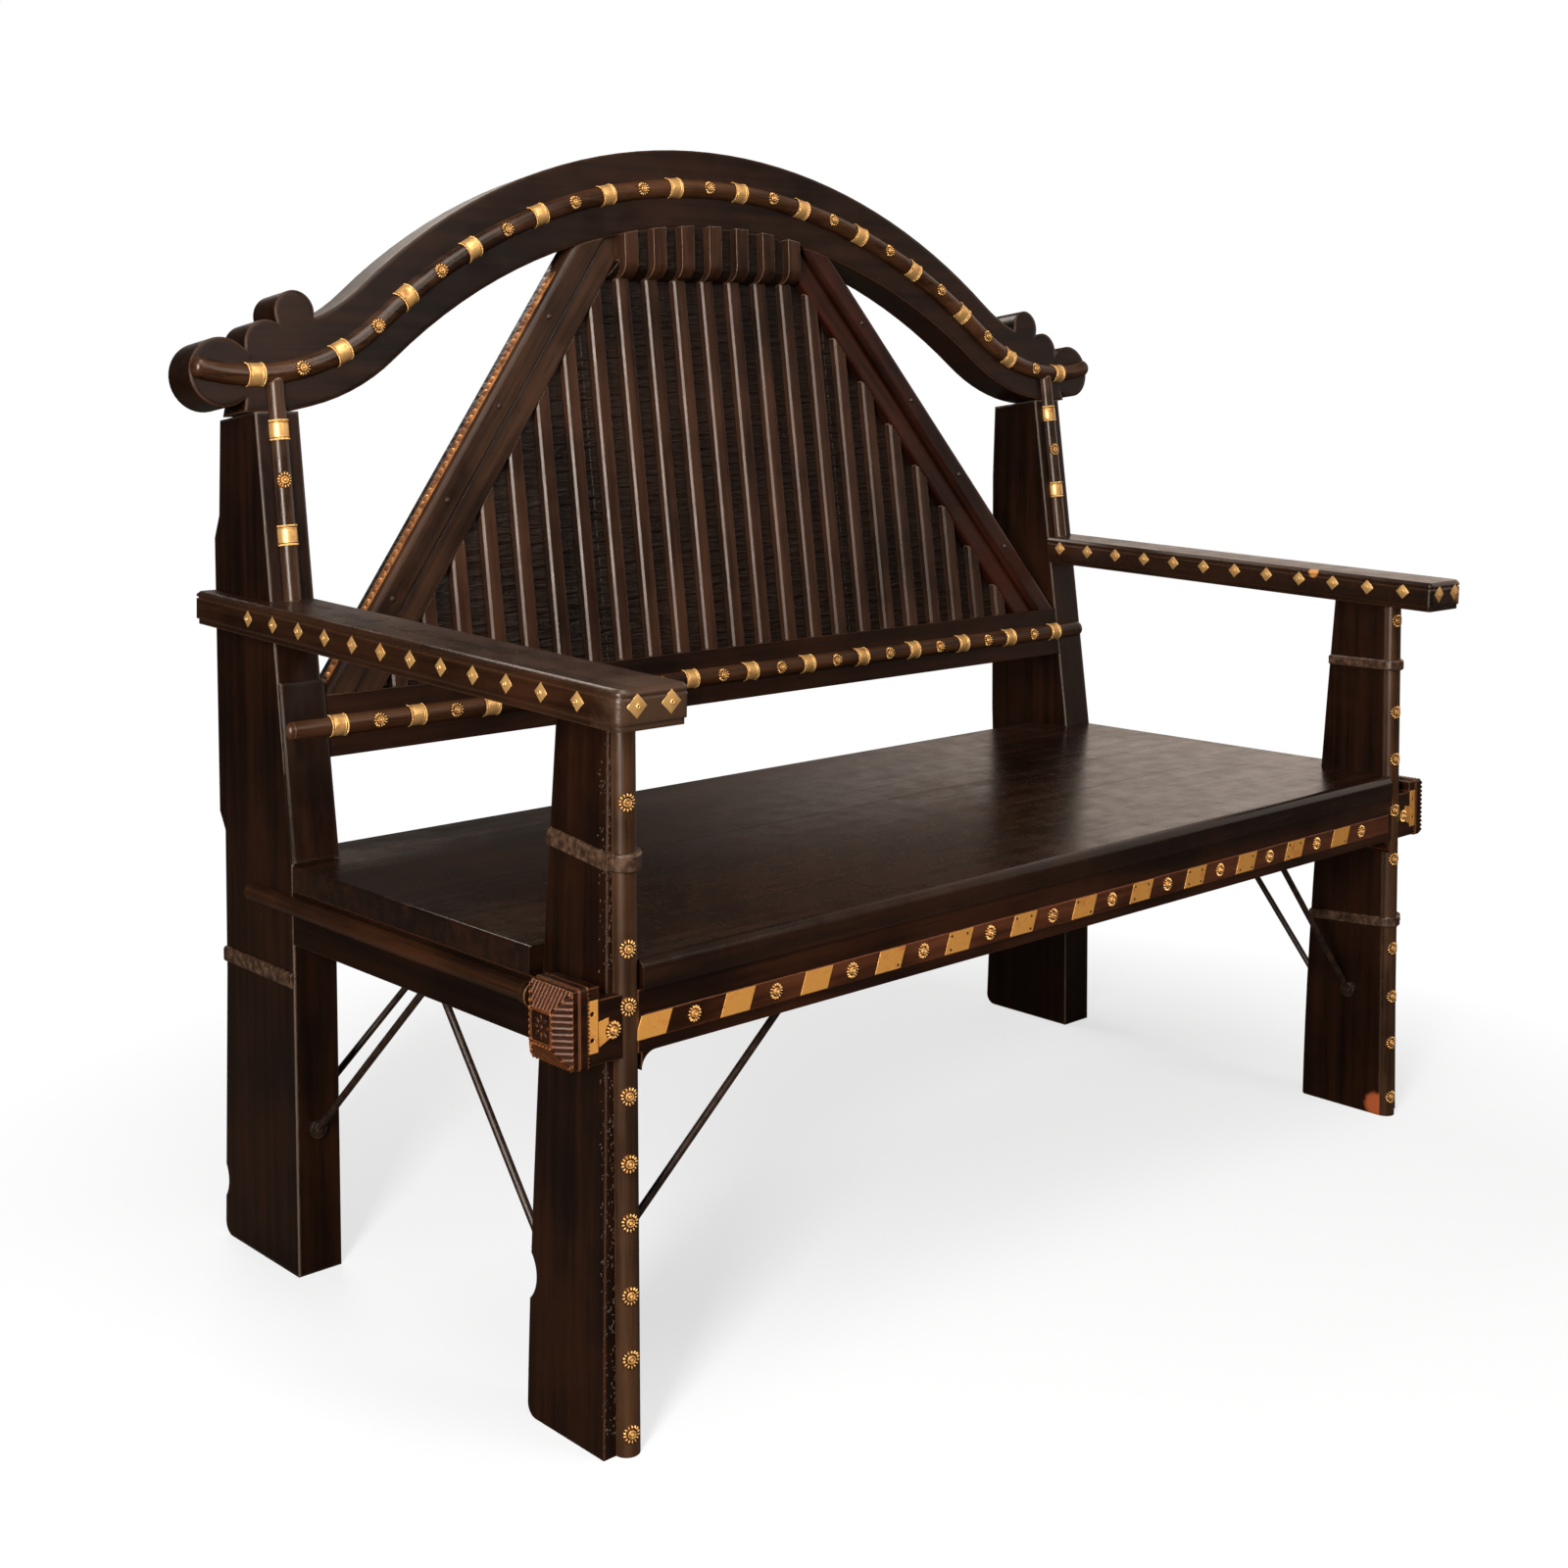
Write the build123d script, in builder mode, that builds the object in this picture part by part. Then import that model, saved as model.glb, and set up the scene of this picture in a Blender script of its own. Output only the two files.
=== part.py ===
from build123d import *
from math import asin, atan, cos, degrees, hypot, pi, radians, sin, tan
import os

os.makedirs("parts", exist_ok=True)

# A carved hardwood bench with arms, a raked back and an arched crest, in millimetres.
# X runs across the bench, Y from its front to its back and Z up from the floor.
# The origin is on the floor, in the middle of the bench's plan.

# Driving dimensions of the whole bench
frame_half_width = 656.0  # outer faces of the back legs, aprons and seat
leg_spacing = 511.0  # front of the front legs to front of the back legs
arm_overhang = 67.0  # arms in front of the front legs
back_leg_depth = 160.0  # back leg on the floor, front to back
seat_top = 440.0
seat_thickness = 26.0
back_rake = 7.43  # degrees that the back leans from upright
fit = 0.2  # clearance where a curved piece sits over a bead
overrun = 6.0  # how far a cutter passes the solid that it cuts

# Front legs
front_leg_thickness = 38.5  # across, on the floor
front_leg_top_thickness = 27.0  # across, under the arm
front_leg_inset = 4.5  # inner face outside the back leg's inner face
front_leg_depth = 113.0  # front to back, on the floor
front_leg_top_depth = 73.0
front_leg_sweep = 1.45  # power of the rear edge's curve, 1 is straight
front_leg_spans = 6  # parts of the rear edge's curve
front_leg_heel_radius = 12.0
right_leg_heel_radius = 3.0

# Back legs, which run up as the raked posts of the back
back_leg_thickness = 51.0
post_top = 913.0
post_top_depth = 78.0
post_tenon_height = 34.0
post_tenon_thickness = 16.0
back_leg_heel_radius = 14.0
back_leg_ankle_height = 299.0
back_leg_ankle_cut = 14.0  # rear edge in front of the heel, at the ankle
back_leg_step_cut = 16.0
back_leg_step_low = 455.0
back_leg_step_high = 475.0
back_leg_wide_cut = 4.0
back_leg_wide_top = 775.0
back_leg_neck_bottom = 800.0
back_leg_neck_cut = 15.0
right_leg_cut = 17.0  # the right leg is slimmer, with no step
right_leg_foot_cut = 8.0

# Wear at the rear edges of the left legs
worn_radius = 30.0
worn_depth = 9.0
front_worn_height = 132.0
back_worn_height = 62.0

# Arms
arm_inset = 55.0  # inner edge inside the frame's outer face
arm_width = 77.0
arm_thickness = 36.0
arm_front_height = 689.5  # top of the arm at its front end
arm_slope = 2.27  # degrees that the arm rises to the back
arm_length = 736.0
arm_corner_radius = 12.0
arm_inner_corner_radius = 5.0
arm_lip_height = 6.0
arm_lip_inset = 2.0
arm_groove_height = 2.0
arm_groove_depth = 1.6
arm_cap_height = 6.0
arm_cap_chamfer = 3.5
arm_tenon_height = 20.0
arm_tenon_thickness = 12.0

# Front beam, whose carved ends pass through the front legs
beam_depth = 60.0
beam_height = 56.0
beam_proud = 9.0  # in front of the legs
beam_end_reach = 40.0  # each end beyond the frame's outer face
beam_end_rise = 12.0  # the ends stand higher than the part under the seat
beam_bevel_length = 12.0
beam_bevel_inset = 15.0  # end face inside the front and the rear
beam_bevel_drop = 19.0  # end face inside the top and the bottom
beam_ring_width = 8.0
beam_ring_proud = 2.0
beam_fillet_width = 6.0
beam_haunch = 16.0

# Rails, aprons and bearers under the seat
apron_height = 57.0
apron_thickness = 30.0
apron_housing = 12.0  # how far the apron is let into the front leg
rail_thickness = 50.0
rail_setback = 39.0  # back rail behind the fronts of the back legs
tenon_length = 32.0
tenon_thickness = 12.0
tenon_shoulder = 10.0
bearer_width = 50.0
bearer_height = 40.0
bearer_half_spacing = 225.0

# Seat boards
seat_nosing = 12.0  # front edge in front of the legs
seat_edge_radius = 9.0
seat_side_radius = 3.0
seat_seam_bevel = 1.0
seat_front_board = 217.0
seat_middle_board = 119.0
seat_depth = 585.0

# Beads: half rounds on the legs, the sides and the back
leg_bead_radius = 12.0
leg_bead_from_inner = 12.5  # bead's centre from the leg's inner face
side_bead_radius = 10.0
side_bead_drop = 42.0  # centre below the seat's top
side_bead_on_leg = 86.0
side_bead_stop_length = 8.0
side_bead_stop_proud = 2.0
post_rod_radius = 10.0
crest_bead_radius = 11.5
lower_rod_radius = 10.5
bead_sides = 16  # flats of the crest's bead, if it were whole

# Crest rail
crest_thickness = 48.0
crest_bead_apex = 1186.0
crest_bead_low = 952.0
crest_bead_low_inset = 1.0  # lowest points inside the frame's outer faces
crest_bead_reach = 60.0  # ends beyond the frame's outer faces
crest_top_apex = 1234.0
crest_top_low = 999.0
crest_top_end_inset = 11.0
crest_under_apex = 1136.0
crest_under_low_inset = 16.0
crest_end_reach = 12.0
bead_arch_share = 0.759  # part of the curve's radius that the arch takes
top_arch_share = 0.785
under_arch_share = 0.75

# Lobes at the crest's ends: distance from the frame's outer face, height and radius
tall_lobe_inset, tall_lobe_height, tall_lobe_radius = 56.5, 1019.5, 23.5
middle_lobe_inset, middle_lobe_height, middle_lobe_radius = 21.0, 985.0, 26.0
outer_lobe_reach, outer_lobe_height, outer_lobe_radius = 34.0, 955.0, 37.0

# Lower back rail
lower_rail_bottom = 546.0
lower_rail_top = 611.0
lower_rod_height = 578.5
lower_rod_inset = 11.0  # ends inside the frame's outer faces

# Panel of the back
panel_foot_gap = 1.0  # beside the posts, at its foot
panel_shoulder_half = 231.0
panel_shoulder_height = 1087.0
panel_board_back = 32.0  # rear face behind the plane of the posts' fronts
panel_board_thickness = 12.0
panel_board_half_width = 204.0  # centre board
slat_pitch = 45.4
slat_width = 20.0
slat_thickness = 10.0
slat_edge_bevel = 2.5
slat_count = 23
outer_batten_width = 34.0
outer_batten_thickness = 20.0
outer_batten_radius = 7.0
inner_batten_width = 30.0
inner_batten_thickness = 12.0
inner_batten_radius = 3.0

# Cove at the top of the panel, measured forward from the plane of the posts' fronts
cove_bottom = 1070.0
cove_round = 19.0  # height of the rounded part at its foot
cove_bend_shares = (0.66, 0.27)  # forward and up, of the middle of that rounding
cove_face = 10.0
cove_top = 15.0
cove_rib_count = 7
cove_rib_depth = 12.0

# Iron stays between the legs and the frame
stay_radius = 3.8
stay_sides = 12
stay_eye_radius = 10.0
stay_eye_thickness = 5.0
stay_nail_radius = 4.5
stay_nail_height = 2.5
stay_foot_height = 155.0
front_stay_y = 46.0  # behind the front of the front legs
left_stay_reach = 236.0  # along the beam, from the leg's inner face
right_stay_reach = 170.0
front_side_stay_reach = 164.0
back_side_stay_reach = 218.0
back_stay_reach = 236.0
side_stay_inset = 24.0  # inside the frame's outer face

# Collars round the legs
collar_height = 17.0
thin_collar_height = 13.0
collar_proud = 4.0
collar_bevel = 1.8
back_collar_radius = 3.6
left_collar_height = 535.0
left_collar_slope = 7.0  # degrees
right_collar_high = 581.0
right_collar_low = 248.0
right_collar_slope = -4.0  # degrees
back_collar_height = 318.0

# Brass on the beads, the beam and the arms
brass_sheet = 0.9
brass_folds = 12  # flats of a sheet, if it went right round its bead
band_length = 20.5
bead_bow = 0.5  # clearance of the brass over a bead, which is bent along the crest
rosette_radius = 9.3
rosette_sides = 12
rosette_boss_sides = 8
rosette_boss_radius = 3.6
rosette_boss_height = 1.8
leg_rosette_turn = 16.0  # degrees that they are turned to the left, round the bead
crest_station_count = 13  # each side of the middle, up to the bead's lowest point
lower_station_count = 12
lower_station_inset = 54.0  # middle of the last band inside the rod's end
# Heights of the leg rosettes, as shares of the leg's height
left_rosette_shares = (0.032, 0.135, 0.222, 0.322, 0.402, 0.494, 0.615, 0.693, 0.889)
right_rosette_shares = (0.038, 0.146, 0.238, 0.333, 0.509, 0.605, 0.705, 0.797, 0.975)
post_band_heights = (893.0, 782.0)
post_rosette_height = 840.0
post_band_length = 22.0
beam_station_count = 12
beam_rosette_left_inset = 107.0  # the first, inside the frame's outer face
beam_rosette_right_inset = 113.0  # the last
beam_plate_lead = 47.0  # of a plate before the next rosette
beam_plate_length = 35.0
beam_plate_height = 21.0
beam_plate_lean = 8.0
beam_plate_drop = 60.0  # centre line of the band below the seat's top
beam_rosette_radius = 11.0
beam_rosette_height = 6.0
end_plate_width = 12.0
end_plate_height = 46.0
end_plate_hole_radius = 2.4
diamond_side = 14.0
diamond_height = 2.4
diamond_tip_share = 0.3
diamond_count = 12
diamond_pitch = 51.5
diamond_first = 56.0  # behind the arm's front end
diamond_drop = 17.0
inner_diamond_pitch = 50.0
inner_diamond_first = 39.0
inner_diamond_drop = 14.0
end_diamond_spacing = 37.0
strip_width = 14.0
strip_end_gap = 12.0
nail_radius = 4.0
nail_height = 2.5
nail_height_shares = (0.2, 0.42, 0.64, 0.86)

# Places that follow from the driving dimensions
overall_depth = arm_overhang + leg_spacing + back_leg_depth
arm_front_y = (diamond_height - overall_depth) / 2
front_y = arm_front_y + arm_overhang
back_y = front_y + leg_spacing
rear_y = back_y + back_leg_depth
seat_bottom = seat_top - seat_thickness
back_leg_inner = frame_half_width - back_leg_thickness
front_leg_inner = back_leg_inner + front_leg_inset
leg_bead_x = front_leg_inner + leg_bead_from_inner
arm_inner = frame_half_width - arm_inset
arm_outer = arm_inner + arm_width
beam_half_length = frame_half_width + beam_end_reach
crest_bead_low_x = frame_half_width - crest_bead_low_inset
crest_bead_end = frame_half_width + crest_bead_reach
crest_top_end = frame_half_width - crest_top_end_inset
crest_under_low_x = frame_half_width - crest_under_low_inset
crest_end_half = frame_half_width + crest_end_reach
tall_lobe_x = frame_half_width - tall_lobe_inset
middle_lobe_x = frame_half_width - middle_lobe_inset
outer_lobe_x = frame_half_width + outer_lobe_reach
lower_rod_half_length = frame_half_width - lower_rod_inset
panel_foot_half = back_leg_inner - panel_foot_gap
post_middle = frame_half_width - back_leg_thickness / 2
beam_front_y = front_y - beam_proud
beam_rear_y = beam_front_y + beam_depth
beam_bottom = seat_bottom - beam_height
seat_front_y = front_y - seat_nosing
seat_rear_y = seat_front_y + seat_depth
apron_bottom = seat_bottom - apron_height
rail_front_y = back_y + rail_setback

rake = radians(back_rake)
back_plane = Plane(
    origin=(0, back_y, seat_top), x_dir=(1, 0, 0), z_dir=(0, -cos(rake), sin(rake))
)
forward_axis = Axis(back_plane.origin, back_plane.z_dir)
slope = radians(arm_slope)
arm_plane = Plane(
    origin=(0, arm_front_y, arm_front_height), x_dir=(1, 0, 0), z_dir=(0, -sin(slope), cos(slope))
)
arm_under_plane = arm_plane.offset(-arm_thickness)
front_plane = Plane.XZ.offset(-front_y)
beam_front_plane = Plane.XZ.offset(-beam_front_y)


def up_rake(height):
    """Distance up the raked face, from the seat's top to a height above the floor."""
    return (height - seat_top) / cos(rake)


def raked_y(height):
    """Y of the posts' fronts at a height above the floor."""
    return back_y + (height - seat_top) * tan(rake)


def arm_under(y):
    """Height of the arms' underside at a place along Y."""
    return arm_front_height + (y - arm_front_y) * tan(slope) - arm_thickness / cos(slope)


front_leg_height = arm_under(front_y)


def front_leg_depth_at(height):
    """Depth of a front leg, which narrows upwards along a curve."""
    taper = front_leg_depth - front_leg_top_depth
    return front_leg_depth - taper * (height / front_leg_height) ** front_leg_sweep


def slab_plane(side, inner, outer):
    """Plane at the lower X of a slab between two distances from the middle."""
    return Plane.YZ.offset(min(side * inner, side * outer))


def save(part, name):
    """Label a finished piece and write it."""
    part.label = name
    export_step(part, f"parts/{name}.step")


sides = {"left": -1, "right": 1}

# Curves of the crest
# Each edge is an arch that runs into a hollow at both ends. The two arcs meet where
# they have the same slope, so one share splits their common radius.


class Cyma:
    """Arch over the middle and a hollow at each side, tangent to each other."""

    def __init__(self, apex, low_x, low, arch_share):
        """Curve from its apex to its lowest points."""
        self.turn = 2 * atan((apex - low) / low_x)
        common_radius = low_x / sin(self.turn)
        self.arch = common_radius * arch_share
        self.hollow = common_radius - self.arch
        self.arch_centre = apex - self.arch
        self.hollow_centre = low + self.hollow
        self.low_x = low_x
        self.low_distance = common_radius * self.turn

    def arch_edge(self):
        start = 90 - degrees(self.turn)
        CenterArc((0, self.arch_centre), self.arch, start, 2 * degrees(self.turn))

    def hollow_edge(self, side, end_x):
        """One hollow, from the arch out to a distance from the middle."""
        reach = degrees(asin((end_x - self.low_x) / self.hollow))
        turn = degrees(self.turn)
        start = 270 - turn if side > 0 else 270 - reach
        CenterArc((side * self.low_x, self.hollow_centre), self.hollow, start, turn + reach)

    def hollow_point(self, side, x):
        """Point of a hollow at a distance from the middle."""
        rise = (self.hollow**2 - (x - self.low_x) ** 2) ** 0.5
        return (side * x, self.hollow_centre - rise)

    def station(self, distance):
        """Point and turn of the curve at a distance along it from the apex."""
        side = 1 if distance >= 0 else -1
        along = abs(distance)
        if along < self.arch * self.turn:
            angle = along / self.arch
            point = (self.arch * sin(angle), self.arch_centre + self.arch * cos(angle))
        else:
            angle = self.turn - (along - self.arch * self.turn) / self.hollow
            point = (
                self.low_x - self.hollow * sin(angle),
                self.hollow_centre - self.hollow * cos(angle),
            )
        return Location((side * point[0], point[1], 0), (0, 0, -side * degrees(angle)))


bead_curve = Cyma(
    up_rake(crest_bead_apex), crest_bead_low_x, up_rake(crest_bead_low), bead_arch_share
)
top_curve = Cyma(
    up_rake(crest_top_apex), crest_bead_low_x, up_rake(crest_top_low), top_arch_share
)
under_curve = Cyma(
    up_rake(crest_under_apex), crest_under_low_x, up_rake(post_top), under_arch_share
)

# Front beam, with bevelled ends outside the legs
beam_shank = beam_half_length - beam_bevel_length
beam_middle_y = beam_front_y + beam_depth / 2
end_height = beam_height + beam_end_rise
end_middle = beam_bottom + end_height / 2
with BuildPart() as front_beam:
    with BuildSketch(Plane.XY.offset(beam_bottom)):
        with Locations((0, beam_middle_y)):
            Rectangle(2 * beam_shank, beam_depth)
    extrude(amount=beam_height)
    for side in (-1, 1):
        with BuildSketch(slab_plane(side, frame_half_width, beam_shank)):
            with Locations((beam_middle_y, end_middle)):
                Rectangle(beam_depth, end_height)
        extrude(amount=beam_shank - frame_half_width)
        with BuildSketch(Plane.YZ.offset(side * beam_shank)):
            with Locations((beam_middle_y, end_middle)):
                Rectangle(beam_depth, end_height)
        with BuildSketch(Plane.YZ.offset(side * beam_half_length)):
            with Locations((beam_middle_y, end_middle)):
                Rectangle(beam_depth - 2 * beam_bevel_inset, end_height - 2 * beam_bevel_drop)
        loft(ruled=True)
        # carved ring round the end
        ring_outer = beam_shank - beam_fillet_width
        with BuildSketch(slab_plane(side, ring_outer - beam_ring_width, ring_outer)):
            with Locations((beam_middle_y, end_middle)):
                RectangleRounded(
                    beam_depth + 2 * beam_ring_proud,
                    end_height + 2 * beam_ring_proud,
                    beam_ring_proud * 2,
                )
        extrude(amount=beam_ring_width)
        # curved haunch in the corner between the beam and the leg
        with BuildSketch(beam_front_plane):
            corner = (side * front_leg_inner, beam_bottom)
            inner = (side * (front_leg_inner - beam_haunch), beam_bottom)
            lower = (side * front_leg_inner, beam_bottom - beam_haunch)
            arc_dip = beam_haunch * (1 - sin(pi / 4))
            middle = (side * (front_leg_inner - arc_dip), beam_bottom - arc_dip)
            with BuildLine():
                Line(lower, corner)
                Line(corner, inner)
                ThreePointArc(inner, middle, lower)
            make_face()
        extrude(amount=-beam_depth)
        # groove that the leg's bead passes through
        with Locations((side * leg_bead_x, front_y, beam_bottom + beam_height / 2)):
            Cylinder(leg_bead_radius + fit, 2 * beam_height, mode=Mode.SUBTRACT)
save(front_beam.part, "front_beam")


# Aprons at the sides, let into the front legs and tenoned into the back legs
def side_apron(side):
    inner = frame_half_width - apron_thickness
    start_y = front_y + front_leg_depth_at(apron_bottom) - apron_housing
    with BuildPart() as apron:
        with BuildSketch(slab_plane(side, inner, frame_half_width)):
            with Locations((start_y, apron_bottom)):
                Rectangle(back_y - start_y, apron_height, align=(Align.MIN, Align.MIN))
        extrude(amount=apron_thickness)
        with BuildSketch(Plane.XZ.offset(-back_y)):
            with Locations((side * (inner + apron_thickness / 2), apron_bottom + apron_height / 2)):
                Rectangle(tenon_thickness, apron_height - 2 * tenon_shoulder)
        extrude(amount=-tenon_length)
    return apron.part, start_y


aprons = {}
for name, side in sides.items():
    aprons[side], apron_start_y = side_apron(side)
    save(aprons[side], f"side_apron_{name}")

# Rail between the back legs, under the seat's rear edge
with BuildPart() as back_rail:
    with BuildSketch(slab_plane(-1, 0, back_leg_inner)):
        with Locations((rail_front_y, apron_bottom)):
            Rectangle(rail_thickness, apron_height, align=(Align.MIN, Align.MIN))
    extrude(amount=2 * back_leg_inner)
    with BuildSketch(slab_plane(-1, 0, back_leg_inner + tenon_length)):
        with Locations((rail_front_y + rail_thickness / 2, apron_bottom + apron_height / 2)):
            Rectangle(tenon_thickness, apron_height - 2 * tenon_shoulder)
    extrude(amount=2 * (back_leg_inner + tenon_length))
save(back_rail.part, "back_rail")

# Bearers that carry the seat boards, from the beam to the back rail
with BuildPart() as seat_bearers:
    with BuildSketch(Plane.XY.offset(seat_bottom - bearer_height)):
        for x in (-bearer_half_spacing, bearer_half_spacing):
            with Locations((x, beam_rear_y)):
                Rectangle(bearer_width, rail_front_y - beam_rear_y, align=(Align.CENTER, Align.MIN))
    extrude(amount=bearer_height)
save(seat_bearers.part, "seat_bearers")

# Lower rail of the back, between the posts, flush with their fronts
rail_foot = up_rake(lower_rail_bottom)
rail_head = up_rake(lower_rail_top)
with BuildPart() as lower_back_rail:
    with BuildSketch(back_plane):
        with Locations((0, rail_foot)):
            Rectangle(2 * back_leg_inner, rail_head - rail_foot, align=(Align.CENTER, Align.MIN))
    extrude(amount=-crest_thickness)
    with BuildSketch(back_plane.offset(-(crest_thickness - tenon_thickness) / 2)):
        with Locations((0, (rail_foot + rail_head) / 2)):
            Rectangle(
                2 * (back_leg_inner + tenon_length), rail_head - rail_foot - 2 * tenon_shoulder
            )
    extrude(amount=-tenon_thickness)
save(lower_back_rail.part, "lower_back_rail")


# Back legs: upright to the seat, then raked, with a tenon that enters the crest
def back_leg(side, apron):
    top_front = (raked_y(post_top), post_top)
    top_rear = (
        top_front[0] + post_top_depth * cos(rake),
        top_front[1] - post_top_depth * sin(rake),
    )
    if side < 0:
        rear_edge = [
            (rear_y - back_leg_neck_cut, back_leg_neck_bottom),
            (rear_y - back_leg_wide_cut, back_leg_wide_top),
            (rear_y - back_leg_wide_cut, back_leg_step_high),
            (rear_y - back_leg_step_cut, back_leg_step_low),
            (rear_y - back_leg_ankle_cut, back_leg_ankle_height),
            (rear_y, 0),
        ]
    else:
        rear_edge = [
            (rear_y - right_leg_cut, back_leg_neck_bottom),
            (rear_y - right_leg_cut, back_leg_step_low),
            (rear_y - right_leg_foot_cut - back_leg_ankle_cut, back_leg_ankle_height),
            (rear_y - right_leg_foot_cut, 0),
        ]
    with BuildPart() as leg:
        with BuildSketch(slab_plane(side, back_leg_inner, frame_half_width)):
            with BuildLine():
                Polyline((back_y, 0), (back_y, seat_top), top_front, top_rear, *rear_edge, close=True)
            make_face()
        extrude(amount=back_leg_thickness)
        heel = leg.edges().filter_by(Axis.X).group_by(Axis.Z)[0].sort_by(Axis.Y)[-1]
        fillet(heel, back_leg_heel_radius)
        if side < 0:
            with BuildSketch(slab_plane(side, back_leg_inner, frame_half_width)):
                with Locations((rear_y + worn_radius - worn_depth, back_worn_height)):
                    Circle(worn_radius)
            extrude(amount=back_leg_thickness, mode=Mode.SUBTRACT)
        # tenon at the top
        tenon_back = (crest_thickness - post_tenon_thickness) / 2
        with BuildSketch(back_plane.offset(-tenon_back)):
            with Locations((side * post_middle, up_rake(post_top))):
                Rectangle(
                    back_leg_thickness - 2 * tenon_shoulder,
                    2 * post_tenon_height,
                )
        extrude(amount=-post_tenon_thickness)
        add(apron, mode=Mode.SUBTRACT)
        add(back_rail.part, mode=Mode.SUBTRACT)
        add(lower_back_rail.part, mode=Mode.SUBTRACT)
    return leg.part


back_legs = {}
for name, side in sides.items():
    back_legs[side] = back_leg(side, aprons[side])
    save(back_legs[side], f"back_leg_{name}")


def half_round(plane, centre, radius, length, toward):
    """Half cylinder that stands on a face: toward is the side of the centre it lies on."""
    reach = 2 * radius
    with BuildPart() as rod:
        with BuildSketch(plane):
            with Locations(centre):
                Circle(radius)
                with Locations((-toward[0] * radius, -toward[1] * radius)):
                    Rectangle(reach, reach, mode=Mode.SUBTRACT)
        extrude(amount=length)
    return rod.part


# Beads on the fronts of the front legs, from the floor to the arms
for name, side in sides.items():
    with BuildPart() as leg_bead:
        add(
            half_round(
                Plane.XY, (side * leg_bead_x, front_y), leg_bead_radius, arm_front_height, (0, -1)
            )
        )
        split(bisect_by=arm_under_plane, keep=Keep.BOTTOM)
    save(leg_bead.part, f"leg_bead_{name}")


# Front legs, tapering upwards in both directions, with a tenon that enters the arm
def front_leg(side, apron):
    rise = front_leg_height
    rear_points = []
    for step in range(front_leg_spans + 1):
        height = rise * step / front_leg_spans
        rear_points.append((front_y + front_leg_depth_at(height), height))
    top_rear_y = front_y + front_leg_top_depth
    rear_points[-1] = (top_rear_y, arm_under(top_rear_y))
    outer_foot = front_leg_inner + front_leg_thickness
    outer_top = front_leg_inner + front_leg_top_thickness
    with BuildPart() as leg:
        with BuildSketch(slab_plane(side, front_leg_inner, outer_foot)):
            with BuildLine():
                rear = Spline(*rear_points)
                Polyline(rear @ 1, (front_y, rise), (front_y, 0), rear @ 0)
            make_face()
        extrude(amount=front_leg_thickness)
        if side < 0:
            with BuildSketch(slab_plane(side, front_leg_inner, outer_foot)):
                worn_y = front_y + front_leg_depth_at(front_worn_height)
                with Locations((worn_y + worn_radius - worn_depth, front_worn_height)):
                    Circle(worn_radius)
            extrude(amount=front_leg_thickness, mode=Mode.SUBTRACT)
        heel = leg.edges().filter_by(Axis.X).group_by(Axis.Z)[0].sort_by(Axis.Y)[-1]
        fillet(heel, front_leg_heel_radius if side < 0 else right_leg_heel_radius)
        with BuildSketch(front_plane):
            with BuildLine():
                Polyline(
                    (side * front_leg_inner, 0),
                    (side * outer_foot, 0),
                    (side * outer_top, arm_front_height),
                    (side * front_leg_inner, arm_front_height),
                    close=True,
                )
            make_face()
        extrude(amount=-front_leg_depth, mode=Mode.INTERSECT)
        # tenon at the top
        tenon_depth = front_leg_top_depth - 2 * tenon_shoulder
        tenon_x = side * (front_leg_inner + front_leg_top_thickness / 2)
        tenon_y = (front_y + tenon_shoulder - arm_front_y) / cos(slope)
        with BuildSketch(arm_under_plane.offset(-overrun)):
            with Locations((tenon_x, tenon_y)):
                Rectangle(arm_tenon_thickness, tenon_depth, align=(Align.CENTER, Align.MIN))
        extrude(amount=overrun + arm_tenon_height)
        add(front_beam.part, mode=Mode.SUBTRACT)
        add(apron, mode=Mode.SUBTRACT)
    return leg.part


front_legs = {}
for name, side in sides.items():
    front_legs[side] = front_leg(side, aprons[side])
    save(front_legs[side], f"front_leg_{name}")


# Collars: straps round a front leg and its bead, open at the rear edge
def leg_collar(side, height, slope_degrees, tall):
    tilt = radians(slope_degrees)
    middle_y = front_y + front_leg_depth_at(height) / 2
    plane = Plane(
        origin=(0, middle_y, height - tall / 2),
        x_dir=(1, 0, 0),
        z_dir=(0, -sin(tilt), cos(tilt)),
    )
    taper = (front_leg_thickness - front_leg_top_thickness) / arm_front_height
    outer = front_leg_inner + front_leg_thickness - taper * height
    half_depth = front_leg_depth_at(height) / 2
    with BuildPart() as collar:
        with BuildSketch(plane):
            with Locations((side * (front_leg_inner - collar_proud), -half_depth - collar_proud)):
                Rectangle(
                    outer - front_leg_inner + 2 * collar_proud,
                    2 * half_depth + collar_proud,
                    align=(Align.MIN if side > 0 else Align.MAX, Align.MIN),
                )
            with Locations((side * leg_bead_x, -half_depth)):
                Circle(leg_bead_radius + collar_proud)
        extrude(amount=tall)
        chamfer(collar.faces().filter_by(plane).edges(), collar_bevel)
        add(front_legs[side], mode=Mode.SUBTRACT)
        with Locations((side * leg_bead_x, front_y, height)):
            Cylinder(leg_bead_radius + fit, 4 * tall, mode=Mode.SUBTRACT)
    return collar.part


left_collar = leg_collar(-1, left_collar_height, left_collar_slope, collar_height)
save(left_collar, "leg_collar_left")
save(leg_collar(1, right_collar_high, 0, thin_collar_height), "leg_collar_right_upper")
lower_collar = leg_collar(1, right_collar_low, right_collar_slope, thin_collar_height)
save(lower_collar, "leg_collar_right_lower")

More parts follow.
